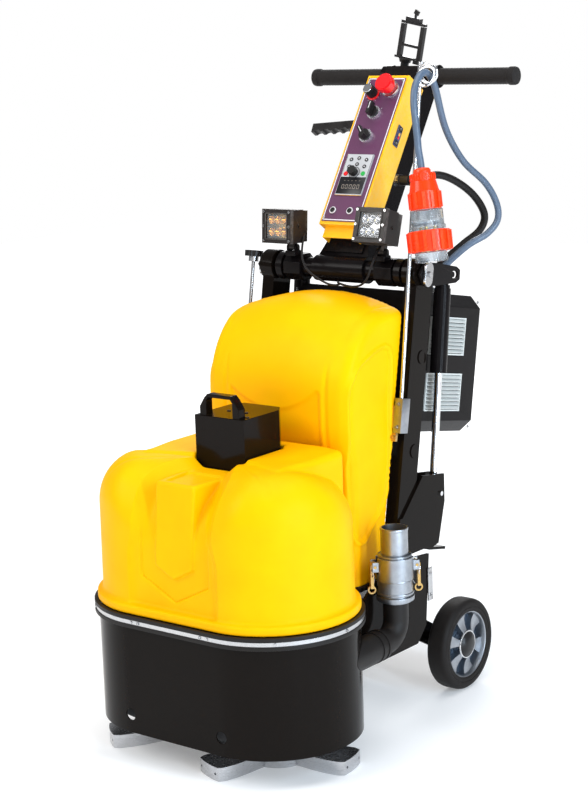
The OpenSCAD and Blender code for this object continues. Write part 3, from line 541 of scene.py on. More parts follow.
def surface_net(field, low, high, step):
    """Quad mesh of the field's zero surface inside a box."""
    low = np.array(low, float)
    count = np.ceil((np.array(high) - low) / step).astype(int) + 1
    axes = [low[i] + step * np.arange(count[i]) for i in range(3)]
    grid = np.empty(tuple(count), np.float32)
    for start in range(0, count[0], 24):    # in slabs, to save memory
        grid[start:start + 24] = field(axes[0][start:start + 24, None, None],
                                       axes[1][None, :, None], axes[2][None, None, :])
    solid = grid < 0
    corners = [(i, j, k) for i in (0, 1) for j in (0, 1) for k in (0, 1)]
    filled = np.zeros(tuple(count - 1), np.int8)
    for i, j, k in corners:
        filled += solid[i:count[0] - 1 + i, j:count[1] - 1 + j, k:count[2] - 1 + k]
    cells = np.nonzero((filled > 0) & (filled < 8))
    size = len(cells[0])
    index = np.full(filled.shape, -1, np.int64)
    index[cells] = np.arange(size)

    # one vertex per cell, at the mean of the crossings on its edges
    def corner_values(offset):
        return grid[tuple(cells[i] + offset[i] for i in range(3))].astype(float)

    total, hits = np.zeros((size, 3)), np.zeros(size)
    for start in corners:
        for axis in range(3):
            if start[axis]:
                continue
            end = list(start)
            end[axis] = 1
            value, end_value = corner_values(start), corner_values(end)
            crosses = (value < 0) != (end_value < 0)
            point = np.tile(np.array(start, float), (size, 1))
            point[:, axis] = np.where(
                crosses, value / np.where(crosses, value - end_value, 1), 0)
            total[crosses] += point[crosses]
            hits[crosses] += 1
    verts = low + step * (np.stack(cells, 1) + total / hits[:, None])

    # one quad round each grid edge that crosses the surface
    faces = []
    for axis in range(3):
        across, up = (axis + 1) % 3, (axis + 2) % 3
        near, far = [slice(None)] * 3, [slice(None)] * 3
        near[axis], far[axis] = slice(0, -1), slice(1, None)
        edges = np.stack(np.nonzero(solid[tuple(near)] != solid[tuple(far)]), 1)
        keep = np.ones(len(edges), bool)
        for side in (across, up):
            keep &= (edges[:, side] > 0) & (edges[:, side] < count[side] - 1)
        edges = edges[keep]
        quads = []
        for step_across, step_up in ((-1, -1), (0, -1), (0, 0), (-1, 0)):
            cell = edges.copy()
            cell[:, across] += step_across
            cell[:, up] += step_up
            quads.append(index[tuple(cell.T)])
        quads = np.stack(quads, 1)
        flip = ~solid[tuple(edges.T)]
        quads[flip] = quads[flip][:, ::-1]
        faces.append(quads)
    faces = np.concatenate(faces)
    faces = faces[(faces >= 0).all(1)]

    # pull the vertices onto the surface
    reach = 0.4
    for _ in range(3):
        x, y, z = verts.T
        slope = np.stack([field(x + reach, y, z) - field(x - reach, y, z),
                          field(x, y + reach, z) - field(x, y - reach, z),
                          field(x, y, z + reach) - field(x, y, z - reach)], 1) / (2 * reach)
        steepness = np.maximum((slope * slope).sum(1), 0.05)
        shift = slope * (field(x, y, z) / steepness)[:, None]
        length = np.linalg.norm(shift, axis=1)
        shift *= np.minimum(1, 0.6 * step / np.maximum(length, 1e-9))[:, None]
        verts = verts - 0.8 * shift
    return verts, faces


def cover_shell(name, field, low, high, step, replaced):
    """A yellow cover built from a distance field."""
    verts, faces = surface_net(field, low, high, step)
    mesh = bpy.data.meshes.new(name)
    mesh.vertices.add(len(verts))
    mesh.vertices.foreach_set("co", (verts / 1000).astype(np.float32).ravel())
    mesh.loops.add(len(faces) * 4)
    mesh.loops.foreach_set("vertex_index", faces.astype(np.int32).ravel())
    mesh.polygons.add(len(faces))
    mesh.polygons.foreach_set("loop_start", np.arange(0, len(faces) * 4, 4, dtype=np.int32))
    mesh.update(calc_edges=True)
    mesh.validate()
    add_object(name, mesh, "chassis", "cover_yellow", replaces=[replaced])


# ---------------------------------------------------------------- front cover
def front_outer(x, y, z):
    """Outer face of the front cover."""
    across = np.abs(x)
    plan = np.sqrt(np.maximum(across - RING_HALF, 0) ** 2 + (y - RING_Y) ** 2)
    flange = smooth_max(plan - 177.5, np.abs(z - 319) - 9.4, 5)

    # domed shoulders, lower towards the rear and cut away in the middle
    wall = 166 - (z - 330) * 0.010
    top = 602 - 30 * ramp((y + 575) / 135)
    soften = ramp((165 - across) / 80)
    dome = dome_field(plan, wall, 82.0 + 44.0 * soften, z, top, 92.0 + 40.0 * soften)
    inner_edge = (113 - 11 * ramp((z - 425) / 60)
                  - 40 * ramp((y + 655) / 112) * ramp((z - 440) / 60))
    shoulders = np.maximum(dome, (inner_edge - across + 1.35 * dome) / 1.7)

    # set-back middle, stepped in further above a sloping line
    step_in = 5.0 * ramp((z - (342 + across / 2)) / 5.0) * ramp((88 - across) / 4.0)
    middle = dome_field(plan, wall - 7 - step_in, 118.0, z, 577, 140.0)
    field = smooth_min(shoulders, middle, 5)

    # raised rear deck
    side = 188 - 10 * ramp((-y - 470) / 90)
    forward = -y - 560 + 0.31 * (188 - np.minimum(across, 188))
    deck = corner(across, side, 13, z, 606, 13)
    deck = smooth_max(deck, forward - 20, 12)
    deck = smooth_max(deck, plan - 170.5, 12)
    field = smooth_min(field, deck, 7)

    # tapered nose with a shallow recess in its top
    nose_front = -677 - (580 - z) * 0.098
    nose_half = 49 + (y + 677) * 0.096
    nose = smooth_max(smooth_max(across - nose_half, nose_front - y, 5), z - 580, 7)
    nose = smooth_max(nose, (392 + 0.51 * across) - z, 3)
    nose = np.maximum(nose, y + 535)
    recess = smooth_max(smooth_max(across - (36 + (y + 660) * 0.10), -661 - y, 3),
                        smooth_max(y + 584, 574.5 - z, 3), 3)
    nose = smooth_max(nose, -recess, 3)
    field = smooth_min(field, nose, 4)

    # soft diagonal groove on the shoulders
    groove = np.abs((across - 150) * 0.55 + (y + 610) * 0.83)
    field = field + (1.6 * bell(groove / 7.0)
                     * ramp((z - 560) / 25) * ramp((-y - 560) / 40))
    field = smooth_min(field, flange, 9)

    # pocket for the weight
    pocket = smooth_max(across - 66 + 0.55 * np.maximum(y + 424, 0),
                        np.maximum(-541.5 - y, y + 395), 6)
    pocket = smooth_max(pocket, 472 - z, 3)
    return smooth_max(field, -pocket, 5)


def hollow(field, thickness, bottom, z):
    """Shell of an outer field, open below the bottom height."""
    return np.maximum(np.maximum(field, -(field + thickness)), bottom - z)


def front_cover(x, y, z):
    return hollow(front_outer(x, y, z), 6.5, 309.4, z)


# ---------------------------------------------------------------- rear cover
REAR_HALF = 184.0
# (y, z) points round the raised panel on each side
SIDE_PANEL = spline([
    (-208, 780), (-210, 660), (-216, 545), (-240, 470), (-282, 432), (-312, 404),
    (-336, 424), (-341, 560), (-343, 690), (-331, 734), (-292, 768)], 5, closed=True)


def rear_outer(x, y, z):
    """Outer face of the rear cover."""
    across = np.abs(x)
    top = 892 - 14 * (np.minimum(across, 150) / 120) ** 2
    front = 350 + 12 * ramp((z - 545) / 95) - 4 * ramp((across - 122) / 60)
    side_top = corner(across, REAR_HALF, 50, z, top, 36)
    front_top = corner(-y, front, 160, z, top, 190)
    side_front = corner(across, REAR_HALF, 26, -y, front, 26)
    field = smooth_max(smooth_max(side_top, front_top, 26), side_front, 8)
    # crease band between front and side
    field = field + (2.4 * bell((across - 128) / 5.0)
                     * ramp((-y - 300) / 30) * ramp((790 - z) / 60))
    # sunken lower front panel with a curved top edge
    panel_top = 672 + 46 * np.minimum(np.abs(x + 8) / 112, 1) ** 2
    field = field + (4.0 * ramp((panel_top - z) / 12)
                     * ramp((-y - 300) / 20) * ramp((118 - across) / 10))
    # side panel sunk inside its outline, with a raised lip round it
    panel = polygon_distance(y, z, SIDE_PANEL)
    on_flank = ramp((across - 150) / 14)
    return field + on_flank * (3.2 * ramp((1.0 - panel) / 4.5)
                               - 2.4 * bell((panel - 5.5) / 3.4))


def rear_cover(x, y, z):
    shell = hollow(rear_outer(x, y, z), 6.0, 310.2, z)
    back = (y + 149 + 0.1845 * (890 - z)) * 0.983   # sloping open back
    return np.maximum(shell, back)


cover_shell("front_cover_shell", front_cover, (-297, -717, 303), (297, -345, 616),
            3.0, "front_cover")
cover_shell("rear_cover_shell", rear_cover, (-192, -370, 303), (192, -142, 898),
            2.6, "rear_cover")

# ---------------------------------------------------------------- CAD nodes
NODE_SLOTS = {part["node"]: part["material_slot"] for part in frame["record"]["subparts"]}
# bevel width of each node with rounded edges
BEVELS = dict(
    bumper_ring=2.2, bumper_strip=0.3, chassis_frame=1.2, mast_columns=1.8, cabinet=2.0,
    cabinet_louvres=0.4, motor=1.5, gear_case=1.0, camlock_socket=0.8, hose_tail=0.5,
    cover_screw=0.8, plate_left=0.9, plate_right=0.9, weight_block=1.3, pivot_tube=0.8,
    handle_frame=1.4, control_box=1.6, fascia=0.3, control_bezels=0.7, keypad=0.6,
    pod_brackets=1.2, estop_button=2.0, speed_knob=0.7, selector_upper=1.0,
    selector_lower=1.0, keypad_knob=0.6, key_run=0.5, key_stop=0.5, pod_left=0.9,
    pod_right=0.9, hand_lever=1.6, phone_cradle=1.2, phone_jaw=1.2, strut_tube_left=0.9,
    strut_tube_right=0.9, strut_rods=0.6, plug_shell=0.9, plug_ring=1.0, plug_inner=0.5,
    rim_left=0.8, rim_right=0.8, cam_arm_front=0.6, cam_arm_rear=0.6, dust_elbow=1.0,
    inverter=1.5)


def paint(node, surface):
    node.data.materials.clear()
    node.data.materials.append(surface)


def paint_black_where(node, test):
    """Black plastic on the faces whose centre (metres) passes the test."""
    node.data.materials.append(MATERIALS['black_plastic'])
    for face in node.data.polygons:
        if test(face.center):
            face.material_index = len(node.data.materials) - 1


def finish_node(name, node):
    """Slot material, rounded edges and clean shading."""
    paint(node, MATERIALS[NODE_SLOTS[name]])
    node.modifiers.new("weld", 'WELD').merge_threshold = 0.00002
    if name in BEVELS:
        bevel = node.modifiers.new("bevel", 'BEVEL')
        bevel.width = BEVELS[name] / 1000
        bevel.segments = 2
        bevel.limit_method = 'ANGLE'
        bevel.angle_limit = radians(38)
        bevel.use_clamp_overlap = True
        bevel.miter_outer = 'MITER_ARC'
    for face in node.data.polygons:
        face.use_smooth = True
    node.modifiers.new("split", 'EDGE_SPLIT').split_angle = radians(27)
    normals = node.modifiers.new("wn", 'WEIGHTED_NORMAL')
    normals.mode = 'FACE_AREA'
    normals.weight = 60
    normals.keep_sharp = True


for node_name, cad_node in NODES.items():
    finish_node(node_name, cad_node)

mast_inverse = MAST.inverted()
paint_black_where(NODES["cover_screw"], lambda centre: (mast_inverse @ centre).z > 0.0302)
paint(NODES["control_bezels"], material(
    "chrome_bezel", base=(0.92, 0.92, 0.94), alt=(0.80, 0.80, 0.83), rough=0.24,
    rough_var=0.06, metal=0.85, bump=0.03, bump_scale=1500))
paint_black_where(NODES["control_bezels"], lambda centre: centre.x > 0.055)

# ---------------------------------------------------------------- wheels
# profiles are (radius from the axle, x from the middle of the machine)
TYRE_IN, TYRE_OUT = 184.0, 232.0
TYRE = [
    (73.2, TYRE_IN + 3), (80, TYRE_IN + 1.0), (90, TYRE_IN + 0.2), (95.5, TYRE_IN + 2.2),
    (98.8, TYRE_IN + 6.5), (99.8, TYRE_IN + 11), (99.97, TYRE_IN + 18),
    (99.97, TYRE_OUT - 18), (99.8, TYRE_OUT - 11), (98.8, TYRE_OUT - 6.5),
    (95.5, TYRE_OUT - 2.2), (90, TYRE_OUT - 0.2), (84, TYRE_OUT - 0.6),
    (83.2, TYRE_OUT - 1.6), (81.8, TYRE_OUT - 0.8), (76, TYRE_OUT - 1.6),
    (73.2, TYRE_OUT - 3)]
HUB_RING = [(27.6, 212), (27.6, 227.4), (28.4, 228.6), (30.2, 228.6), (31.2, 227.2), (32.0, 212)]
HUB_CAP = [(0, 237.3), (12, 237.0), (19, 234.6), (25, 230.6), (27.4, 227.6), (27.4, 212), (0, 212)]
RIM_LIP = [(66.4, 206), (69.0, 223), (70.6, 228.2), (72.6, 229.4), (73.1, 227), (73.1, 187),
           (66.4, 187)]
RIM_DISH = [(10.6, 190), (30, 190), (34, 200), (66.2, 200), (66.2, 206.5), (34, 207.5),
            (27.2, 211.8), (10.6, 211.8)]
# (radius, half angle, x of the outer face) along a spoke
SPOKE = [(30.5, 12.5, 225.5), (44, 13.5, 220.5), (56, 14.2, 218.5), (68.5, 15.0, 220.5)]
SPOKE_BACK = 203.0
SPOKE_CROWN = 0.9
SPOKE_STEPS = 8


def spoke(sign):
    """One flaring spoke with a crowned outer face, pointing up from the axle."""
    verts, faces = [], []
    row = SPOKE_STEPS + 1
    for radius, half_angle, outer in SPOKE:
        for base_x, crown in ((SPOKE_BACK, 0), (outer, SPOKE_CROWN)):
            for k in range(row):
                angle = radians(-half_angle + 2 * half_angle * k / SPOKE_STEPS)
                x = base_x + crown * cos(pi * (k / SPOKE_STEPS - 0.5))
                verts.append((sign * x / 1000, radius * sin(angle) / 1000,
                              radius * cos(angle) / 1000))
    for station in range(len(SPOKE) - 1):
        near, far = station * 2 * row, (station + 1) * 2 * row
        for k in range(SPOKE_STEPS):
            faces.append((near + k, near + k + 1, far + k + 1, far + k))
            faces.append((near + row + k, far + row + k, far + row + k + 1, near + row + k + 1))
        for k in (0, SPOKE_STEPS):
            faces.append((near + k, far + k, far + row + k, near + row + k))
    for end in (0, 2 * row * (len(SPOKE) - 1)):
        for k in range(SPOKE_STEPS):
            faces.append((end + k, end + k + 1, end + row + k + 1, end + row + k))
    return verts, faces


def build_wheel(side, sign):
    body = "wheel_" + side

    def turned(profile, sides):
        return on_side(lathe(profile, sides, 'X'), sign, z=AXLE_Z)

    piece("tyre_%s_tread" % side, [turned(TYRE, 96)], body, "tyre_black",
          replaces=["tyre_" + side], split=40)
    piece("hub_ring_" + side, [turned(HUB_RING, 72)], body, "cast_alu",
          MATERIALS['bright_steel'])
    piece("hub_cap_" + side, [turned(HUB_CAP, 64)], body, "black_plastic")
    spokes = [moved(spoke(sign), place(WORLD, 0, 0, AXLE_Z, 60 * k + 12)) for k in range(6)]
    piece("rim_spokes_" + side, [turned(RIM_LIP, 96)] + spokes, body, "cast_alu", split=30)
    # the recessed dish gets the painted shade colour instead of cast alloy
    piece("rim_dish_" + side, [turned(RIM_DISH, 72)], body, "cast_alu", RIM_RECESS_SHADE,
          replaces=["rim_" + side], split=30)


for side, sign in SIDES:
    build_wheel(side, sign)

# ---------------------------------------------------------------- cables
# (x, y, z) stations, each ending on the cabinet top
SUPPLY_CABLE = [
    (235.6, -153.3, 1133.5), (230, -151, 1160), (226, -151, 1182), (223, -150, 1210),
    (219, -149, 1240), (214, -146, 1272), (210, -136, 1302), (209, -116, 1326),
    (210, -98, 1332), (211, -82, 1324), (211, -62, 1298), (208, -22, 1215), (209, 40, 1145),
    (219, 112, 1092), (223, 150, 1045), (221, 156, 1008), (206, 136, 980), (178, 106, 958),
    (140, 82, 920), (108, 68, 880), (100, 66, 861.5)]
CONTROL_CABLE = [
    (84, 26.5, 1101), (112, 30, 1107), (136, 62, 1111), (152, 108, 1092), (166, 153, 1058),
    (173, 181, 1016), (163, 177, 982), (134, 152, 952), (98, 124, 914), (66, 102, 874),
    (60, 99, 855.5)]


def gland(end, radius):
    """Twelve-sided collar where a cable enters the cabinet."""
    x, y, z = end
    profile = [(0, -12), (radius + 3, -12), (radius + 3, -6), (radius, -5), (radius, 6),
               (radius - 3.5, 11), (0, 11)]
    return moved(lathe(profile, 12), place(WORLD, x, y, z - 2, MAST_TILT))


piece("supply_cable_smooth", [tube(SUPPLY_CABLE, 7.2, 20, per_span=8)], "chassis",
      "cable_grey", replaces=["supply_cable"], split=60)
control_cable = piece("control_cable_smooth", [tube(CONTROL_CABLE, 8.2, 20, per_span=10)],
                      None, "rubber_black", replaces=["control_cable"], split=60)
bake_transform(control_cable)
piece("cabinet_glands", [gland(SUPPLY_CABLE[-1], 12), gland(CONTROL_CABLE[-1], 13)],
      "chassis", "black_plastic")

# ---------------------------------------------------------------- grips
# (radius, x) profile: inner end, ribs, then a flange and a closed outer end
RIB_COUNT, RIB_START, RIB_PITCH = 22, 80, 7.6
RIB_HIGH, RIB_LOW = 18.0, 17.62
GRIP = [(16.2, 74), (17.2, 74), (18.0, 76)]
for rib in range(RIB_COUNT):
    rib_x = RIB_START + rib * RIB_PITCH
    GRIP += [(RIB_HIGH, rib_x), (RIB_LOW, rib_x + RIB_PITCH / 2)]
GRIP += [(18.0, 247.5), (19.4, 249), (19.6, 251), (19.6, 260), (18.6, 263.4), (12, 263.9),
         (0, 263.9), (0, 262.2), (16.2, 262.2)]
for side, sign in SIDES:
    grip = on_side(lathe(GRIP, 48, 'X'), sign, y=17, z=477)
    piece("grip_foam_" + side, [moved(grip, HANDLE)], "handle", "foam_black",
          replaces=["grips"], split=50)

# ---------------------------------------------------------------- control panel
# In the handle frame x runs across the panel, -y points out of it and z runs up it.
SPEED_X, SPEED_Z = -22, 386
SELECTOR_X = -2
UPPER_Z, LOWER_Z = 338, 281
FASCIA_Y = -64.1        # just proud of the printed face
KEYPAD_Y = -66.9
SOCKET_Y = -66.8
SOCKETS = [(-25, 104), (19, 104)]       # (x, z)
KEYS = [(-20, 225), (-1, 228.5), (19, 225), (-20, 208), (-1.5, 214), (19, 209)]  # (x, z)


def on_panel(shapes):
    return all_moved(shapes, HANDLE)


def turned_on_panel(profile, sides, y, centres):
    """The same lathe shape standing out of the panel at each (x, z)."""
    shape = lathe(profile, sides)
    return [moved(shape, facing(HANDLE, x, y, z)) for x, z in centres]


# white border and dial ticks
BORDER_X, BORDER_LOW, BORDER_HIGH, BORDER_LINE = 46.6, 82.0, 424.5, 2.2
border = [box(x, x + BORDER_LINE, -64.25, -63.9, BORDER_LOW, BORDER_HIGH, 0.05)
          for x in (-BORDER_X, BORDER_X - BORDER_LINE)]
border += [box(-BORDER_X, BORDER_X, -64.25, -63.9, z, z + BORDER_LINE, 0.05)
           for z in (BORDER_LOW, BORDER_HIGH - BORDER_LINE)]
# (x, z, inner radius, outer radius, tick count, first angle, last angle)
DIALS = [(SPEED_X, SPEED_Z, 16.6, 19.2, 11, -150, 150),
         (SELECTOR_X, UPPER_Z, 17, 20, 2, -45, 45),
         (SELECTOR_X, LOWER_Z, 17, 20, 2, -90, 0)]
ticks = []
for x, z, tick_in, tick_out, count, first, last in DIALS:
    for k in range(count):
        spot = place(HANDLE, x, FASCIA_Y, z, first + (last - first) * k / (count - 1), 'Y')
        ticks.append(moved(box(-0.35, 0.35, -0.16, 0.05, tick_in, tick_out, 0.03), spot))
piece("fascia_print", on_panel(border) + ticks, "handle", "fascia_purple", PRINT_WHITE)

piece("socket_rings",
      turned_on_panel([(6.2, 0), (7.8, 0), (7.8, 1.4), (7.2, 2.0), (6.2, 2.0)], 40,
                      SOCKET_Y, SOCKETS),
      "handle", "keypad_silver", PRINT_WHITE)
piece("socket_inserts",
      turned_on_panel([(0, 0), (5.4, 0), (5.4, 2.4), (4.2, 2.6), (3.4, 1.0), (0, 0.8)], 32,
                      SOCKET_Y, SOCKETS),
      "handle", "black_plastic")

# keypad: key rings with white dots, one larger ring and two side lines
piece("key_marks",
      turned_on_panel([(0, 1.05), (1.5, 1.05), (1.4, 1.5), (0, 1.55)], 16, KEYPAD_Y, KEYS),
      "handle", "keypad_silver", PRINT_WHITE)
piece("keypad_edge", on_panel([
    box(-34.4, -33.3, -66.4, -64.6, 141.5, 238.5, 0.2),
    box(32.7, 33.6, -66.4, -64.6, 141.5, 186, 0.2),
    box(-34.4, 33.6, -66.4, -64.6, 140.6, 141.8, 0.2)]), "handle", "box_yellow")
key_rings = []
for key in KEYS:
    key_rings += turned_on_panel(
        [(0, 0), (4.7, 0), (4.7, 0.8), (4.2, 1.3), (1.9, 1.3), (1.8, 1.1), (0, 1.1)], 28,
        KEYPAD_Y, [key])
key_rings += turned_on_panel([(12.2, 0), (13.4, 0), (13.4, 0.7), (12.8, 1.0), (12.2, 0.7)],
                             48, KEYPAD_Y, [(-1.7, 194)])
side_lines = [box(x, x + 0.7, -67.35, -66.8, 143.5, 236.5, 0.1) for x in (-32.9, 32.2)]
piece("key_rings", key_rings + on_panel(side_lines), "handle", "black_plastic")

# display showing five zeros, each with a dash above and a point at its lower right
piece("display_glass", on_panel([box(-32.6, 32.0, -67.5, -65.8, 143.2, 183.5, 0.4)]),
      "handle", "black_plastic", DISPLAY_BLACK)
DIGIT_COUNT, DIGIT_START, DIGIT_PITCH, DIGIT_Z = 5, -19.4, 9.7, 160.5
# (x and z from the digit's centre, half width, half height)
ZERO = [(0, 4.6, 2.0, 0.45), (2.6, 2.3, 0.45, 1.9), (2.6, -2.3, 0.45, 1.9),
        (0, -4.6, 2.0, 0.45), (-2.6, -2.3, 0.45, 1.9), (-2.6, 2.3, 0.45, 1.9)]


def lit(x0, x1, z0, z1, chamfer):
    return box(x0, x1, -67.75, -67.3, z0, z1, chamfer)


digits = []
for i in range(DIGIT_COUNT):
    x = DIGIT_START + DIGIT_PITCH * i
    digits += [lit(x + dx - half_x, x + dx + half_x,
                   DIGIT_Z + dz - half_z, DIGIT_Z + dz + half_z, 0.1)
               for dx, dz, half_x, half_z in ZERO]
    digits.append(lit(x - 1.6, x + 1.6, 174.2, 174.9, 0.05))
    digits.append(lit(x + 3.9, x + 4.7, 155.4, 156.2, 0.1))
piece("display_digits", on_panel(digits), "handle", "red_plastic", SEGMENT)

piece("fascia_screws",
      screws(2.3, 1.6, [facing(HANDLE, x, -64, z) for x in (-42.5, 42.5) for z in (88, 418)]),
      "handle", "stainless")

# speed knob cap and ring, pointer lines on the selectors
SPEED_KNOB = [(SPEED_X, SPEED_Z)]
piece("speed_cap",
      turned_on_panel([(0, 20.0), (9.6, 20.0), (10.4, 20.8), (9.8, 21.8), (0, 22.4)], 40,
                      -70, SPEED_KNOB),
      "speed", "bright_steel")
piece("speed_ring",
      turned_on_panel([(12.0, -5.6), (15.4, -5.6), (15.6, -3.4), (14.6, -2.4), (12.0, -2.4)],
                      48, -70, SPEED_KNOB),
      "speed", "red_plastic")
for which, z, turn in (("upper", UPPER_Z, 180), ("lower", LOWER_Z, 140)):
    line = box(-0.7, 0.7, -92.3, -91.9, -14.5, 2, 0.1)
    piece("selector_line_" + which, [moved(line, place(HANDLE, SELECTOR_X, 0, z, turn, 'Y'))],
          "switch_" + which, "keypad_silver", PRINT_WHITE)

# connector plate on the +X side of the box
CONNECTOR_Z = 300
piece("connector_screws",
      screws(2.4, 1.8, [place(HANDLE, 55.6, -35, CONNECTOR_Z + dz, 90, 'Y')
                        for dz in (-17, 17)]),
      "handle", "stainless")
piece("connector_plate", on_panel([
    box(53.2, 55.2, -44, -26, CONNECTOR_Z - 24, CONNECTOR_Z + 24, 1.2),
    box(55.1, 56.4, -41, -29, CONNECTOR_Z - 11, CONNECTOR_Z + 11, 0.5)]),
    "handle", "black_plastic", NAVY)
for colour, low, slot in (("yellow", 0.5, "box_yellow"), ("red", -7, "red_plastic")):
    rocker = box(56.3, 57.2, -37.5, -32.5, CONNECTOR_Z + low, CONNECTOR_Z + low + 6.5, 0.3)
    piece("connector_rocker_" + colour, on_panel([rocker]), "handle", slot)

# bright ring round the emergency stop
piece("estop_guard",
      turned_on_panel([(17.2, 7), (19.6, 7), (20.2, 9), (19.8, 11), (17.4, 11)], 56,
                      FASCIA_Y, [(23, 394)]),
      "handle", "bright_steel")

# ---------------------------------------------------------------- work lights
LED_PITCH_X, LED_PITCH_Z, LED_LOW_Z = 17.6, 25, 33.5
REFLECTOR_CUP = [(1.9, 0.6), (3.0, 1.4), (5.2, 5.2), (7.2, 9.0), (8.3, 11.2), (8.6, 11.2),
                 (8.4, 9), (5.8, 3.4), (3.2, 0.2), (1.9, 0.2)]
BEZEL_X, BEZEL_LOW, BEZEL_HIGH, BEZEL_BAR = 29.5, 17.5, 74.5, 2.5


def build_light(side, pod):
    """Reflectors, LED chips, screws and lens bezel of one light."""
    body = "light_" + side
    cups, chips = [], []
    for i in range(3):
        for j in range(2):
            spot = pod @ facing(WORLD, LED_PITCH_X * (i - 1), -40.5, LED_LOW_Z + LED_PITCH_Z * j)
            cups.append(moved(lathe(REFLECTOR_CUP, 28), spot))
            chips.append(moved(box(-1.7, 1.7, -1.7, 1.7, 0.1, 1.3, 0.4), spot))
    backing = box(-26.6, 26.6, -41.2, -40.2, 20.4, 71.6, 0.3)
    # the left reflectors carry the painted warm reflection
    piece("pod_reflectors_" + side, cups + [moved(backing, pod)], body, "bright_steel",
          REFLECTORS[side], split=40)
    piece("pod_chips_" + side, chips, body, "lens_clear", LED_CHIP)
    piece("pod_screws_" + side,
          screws(2.9, 2.4, [facing(pod, x, -59.8, z)
                            for x in (-33.8, 33.8) for z in (15.5, 46, 76.5)]),
          body, "stainless")
    bars = [box(x, x + BEZEL_BAR, -61.8, -59.6, BEZEL_LOW, BEZEL_HIGH, 0.8)
            for x in (-BEZEL_X, BEZEL_X - BEZEL_BAR)]
    bars += [box(-BEZEL_X, BEZEL_X, -61.8, -59.6, z, z + BEZEL_BAR, 0.8)
             for z in (BEZEL_LOW, BEZEL_HIGH - BEZEL_BAR)]
    piece("pod_bezel_" + side, all_moved(bars, pod), body, "pod_black")


for side, pod in PODS.items():
    build_light(side, pod)

# thin wires from the lights into the handle, (x, y, z)
LIGHT_WIRES = {
    "left": [(-104, -104, 1004), (-92, -112, 1006), (-78, -140, 992), (-66, -163, 966),
             (-60, -168, 945), (-48, -168, 926), (-28, -166, 912), (-2, -163, 900),
             (14, -158, 897), (20, -150, 898)],
    "right": [(104, -100, 1000), (112, -122, 985), (114, -150, 962), (111, -164, 938),
              (104, -167, 918), (88, -167, 903), (66, -166, 898), (44, -163, 899),
              (24, -158, 902), (16, -150, 904)]}
for side, stations in LIGHT_WIRES.items():
    piece("light_wire_" + side, [tube(stations, 2.3, 10, per_span=8)], "handle",
          "rubber_black", split=60)

# ---------------------------------------------------------------- bumper and weight screws
STRIP_SCREW_COUNT = 10
STRIP_RADIUS = 183.4
STRIP_SCREW_RADIUS = 183.2


def ring_point(distance, radius):
    """Point and outward direction on the obround, from the front middle towards +X."""
    arc = pi * radius
    if distance < RING_HALF:
        return (distance, RING_Y - radius), (0, -1)
    distance -= RING_HALF
    if distance < arc:
        angle = -pi / 2 + distance / radius
        return ((RING_HALF + radius * cos(angle), RING_Y + radius * sin(angle)),
                (cos(angle), sin(angle)))
    distance -= arc
    if distance < 2 * RING_HALF:
        return (RING_HALF - distance, RING_Y + radius), (0, 1)
    distance -= 2 * RING_HALF
    if distance < arc:
        angle = pi / 2 + distance / radius
        return ((-RING_HALF + radius * cos(angle), RING_Y + radius * sin(angle)),
                (cos(angle), sin(angle)))
    return (-RING_HALF + (distance - arc), RING_Y - radius), (0, -1)


strip_length = 4 * RING_HALF + tau * STRIP_RADIUS
strip_places = []
for k in range(STRIP_SCREW_COUNT):
    (x, y), (out_x, out_y) = ring_point(strip_length * (k + 0.5) / STRIP_SCREW_COUNT,
                                        STRIP_SCREW_RADIUS)
    # none along the rear, nor close to x = +-97
    if y > -380 or abs(abs(x) - 97) < 12:
        continue
    turn = Vector((out_x, out_y, 0)).to_track_quat('Z', 'Y').to_matrix().to_4x4()
    strip_places.append(place(WORLD, x, y, 296.5) @ turn)
piece("strip_screws", screws(3.2, 2.6, strip_places), "chassis", "stainless")
piece("weight_screws",
      screws(4.2, 1.6, [place(WORLD, x, y, 684.2)
                        for x, y in ((-22, -478), (22, -478), (-52, -512), (52, -512))]),
      "weight", "steel_black", MATERIALS['black_plastic'])


# ---------------------------------------------------------------- pivot end plates
def end_plate(sign):
    """Leaning oblong plate with a chamfered outer edge."""
    count, half_width, half_straight = 40, 14, 11
    verts = []
    for x, scale in ((212.3, 1.0), (216.6, 1.0), (217.4, 0.95)):
        for k in range(count):
            angle = tau * k / count
            y = cos(angle) * half_width * scale
            shift = half_straight if sin(angle) > 0 else -half_straight
            z = sin(angle) * half_width * scale + shift * scale
            verts.append((sign * x / 1000, (PIVOT_Y + y * 0.97 + 0.22 * z) / 1000,
                          (PIVOT_Z + z - 0.22 * y) / 1000))
    faces = [tuple(range(count)), tuple(range(2 * count, 3 * count))]
    for level in (0, count):
        for k in range(count):
            after = (k + 1) % count
            faces.append((level + k, level + after, level + count + after, level + count + k))
    return verts, faces


for side, sign in reversed(SIDES):
    bolt = lathe([(0, 0), (6.4, 0), (6.4, 4.4), (5.6, 5.4), (0, 5.6)], 6)
    spot = place(WORLD, sign * 217.3, PIVOT_Y, PIVOT_Z, 90 * sign, 'Y')
    piece("pivot_end_plate_" + side, [end_plate(sign), moved(bolt, spot)], "handle",
          "stainless")

# ---------------------------------------------------------------- rod latch and small plates
latch = [box(186, 203, -24, -18.2, -312, -240, 1.2), box(199.9, 205.5, -24, 4, -312, -240, 1.0)]
latch_screws = screws(4.0, 3.0, [facing(MAST, 194.5, -24, z) for z in (-300, -252)])
piece("rod_latch", all_moved(latch, MAST) + latch_screws, "chassis", "cast_alu")
bracket = [box(171, 187, -23, -2, -302, -256, 1.4), box(180, 194, -22, -14, -330, -311.5, 1.0)]
nut = lathe([(0, 0), (4.6, 0), (4.6, 3.5), (0, 3.9)], 6)
piece("rod_latch_bracket",
      all_moved(bracket, MAST) + [moved(nut, facing(MAST, 187, -22, -321))],
      "chassis", "zinc_yellow")

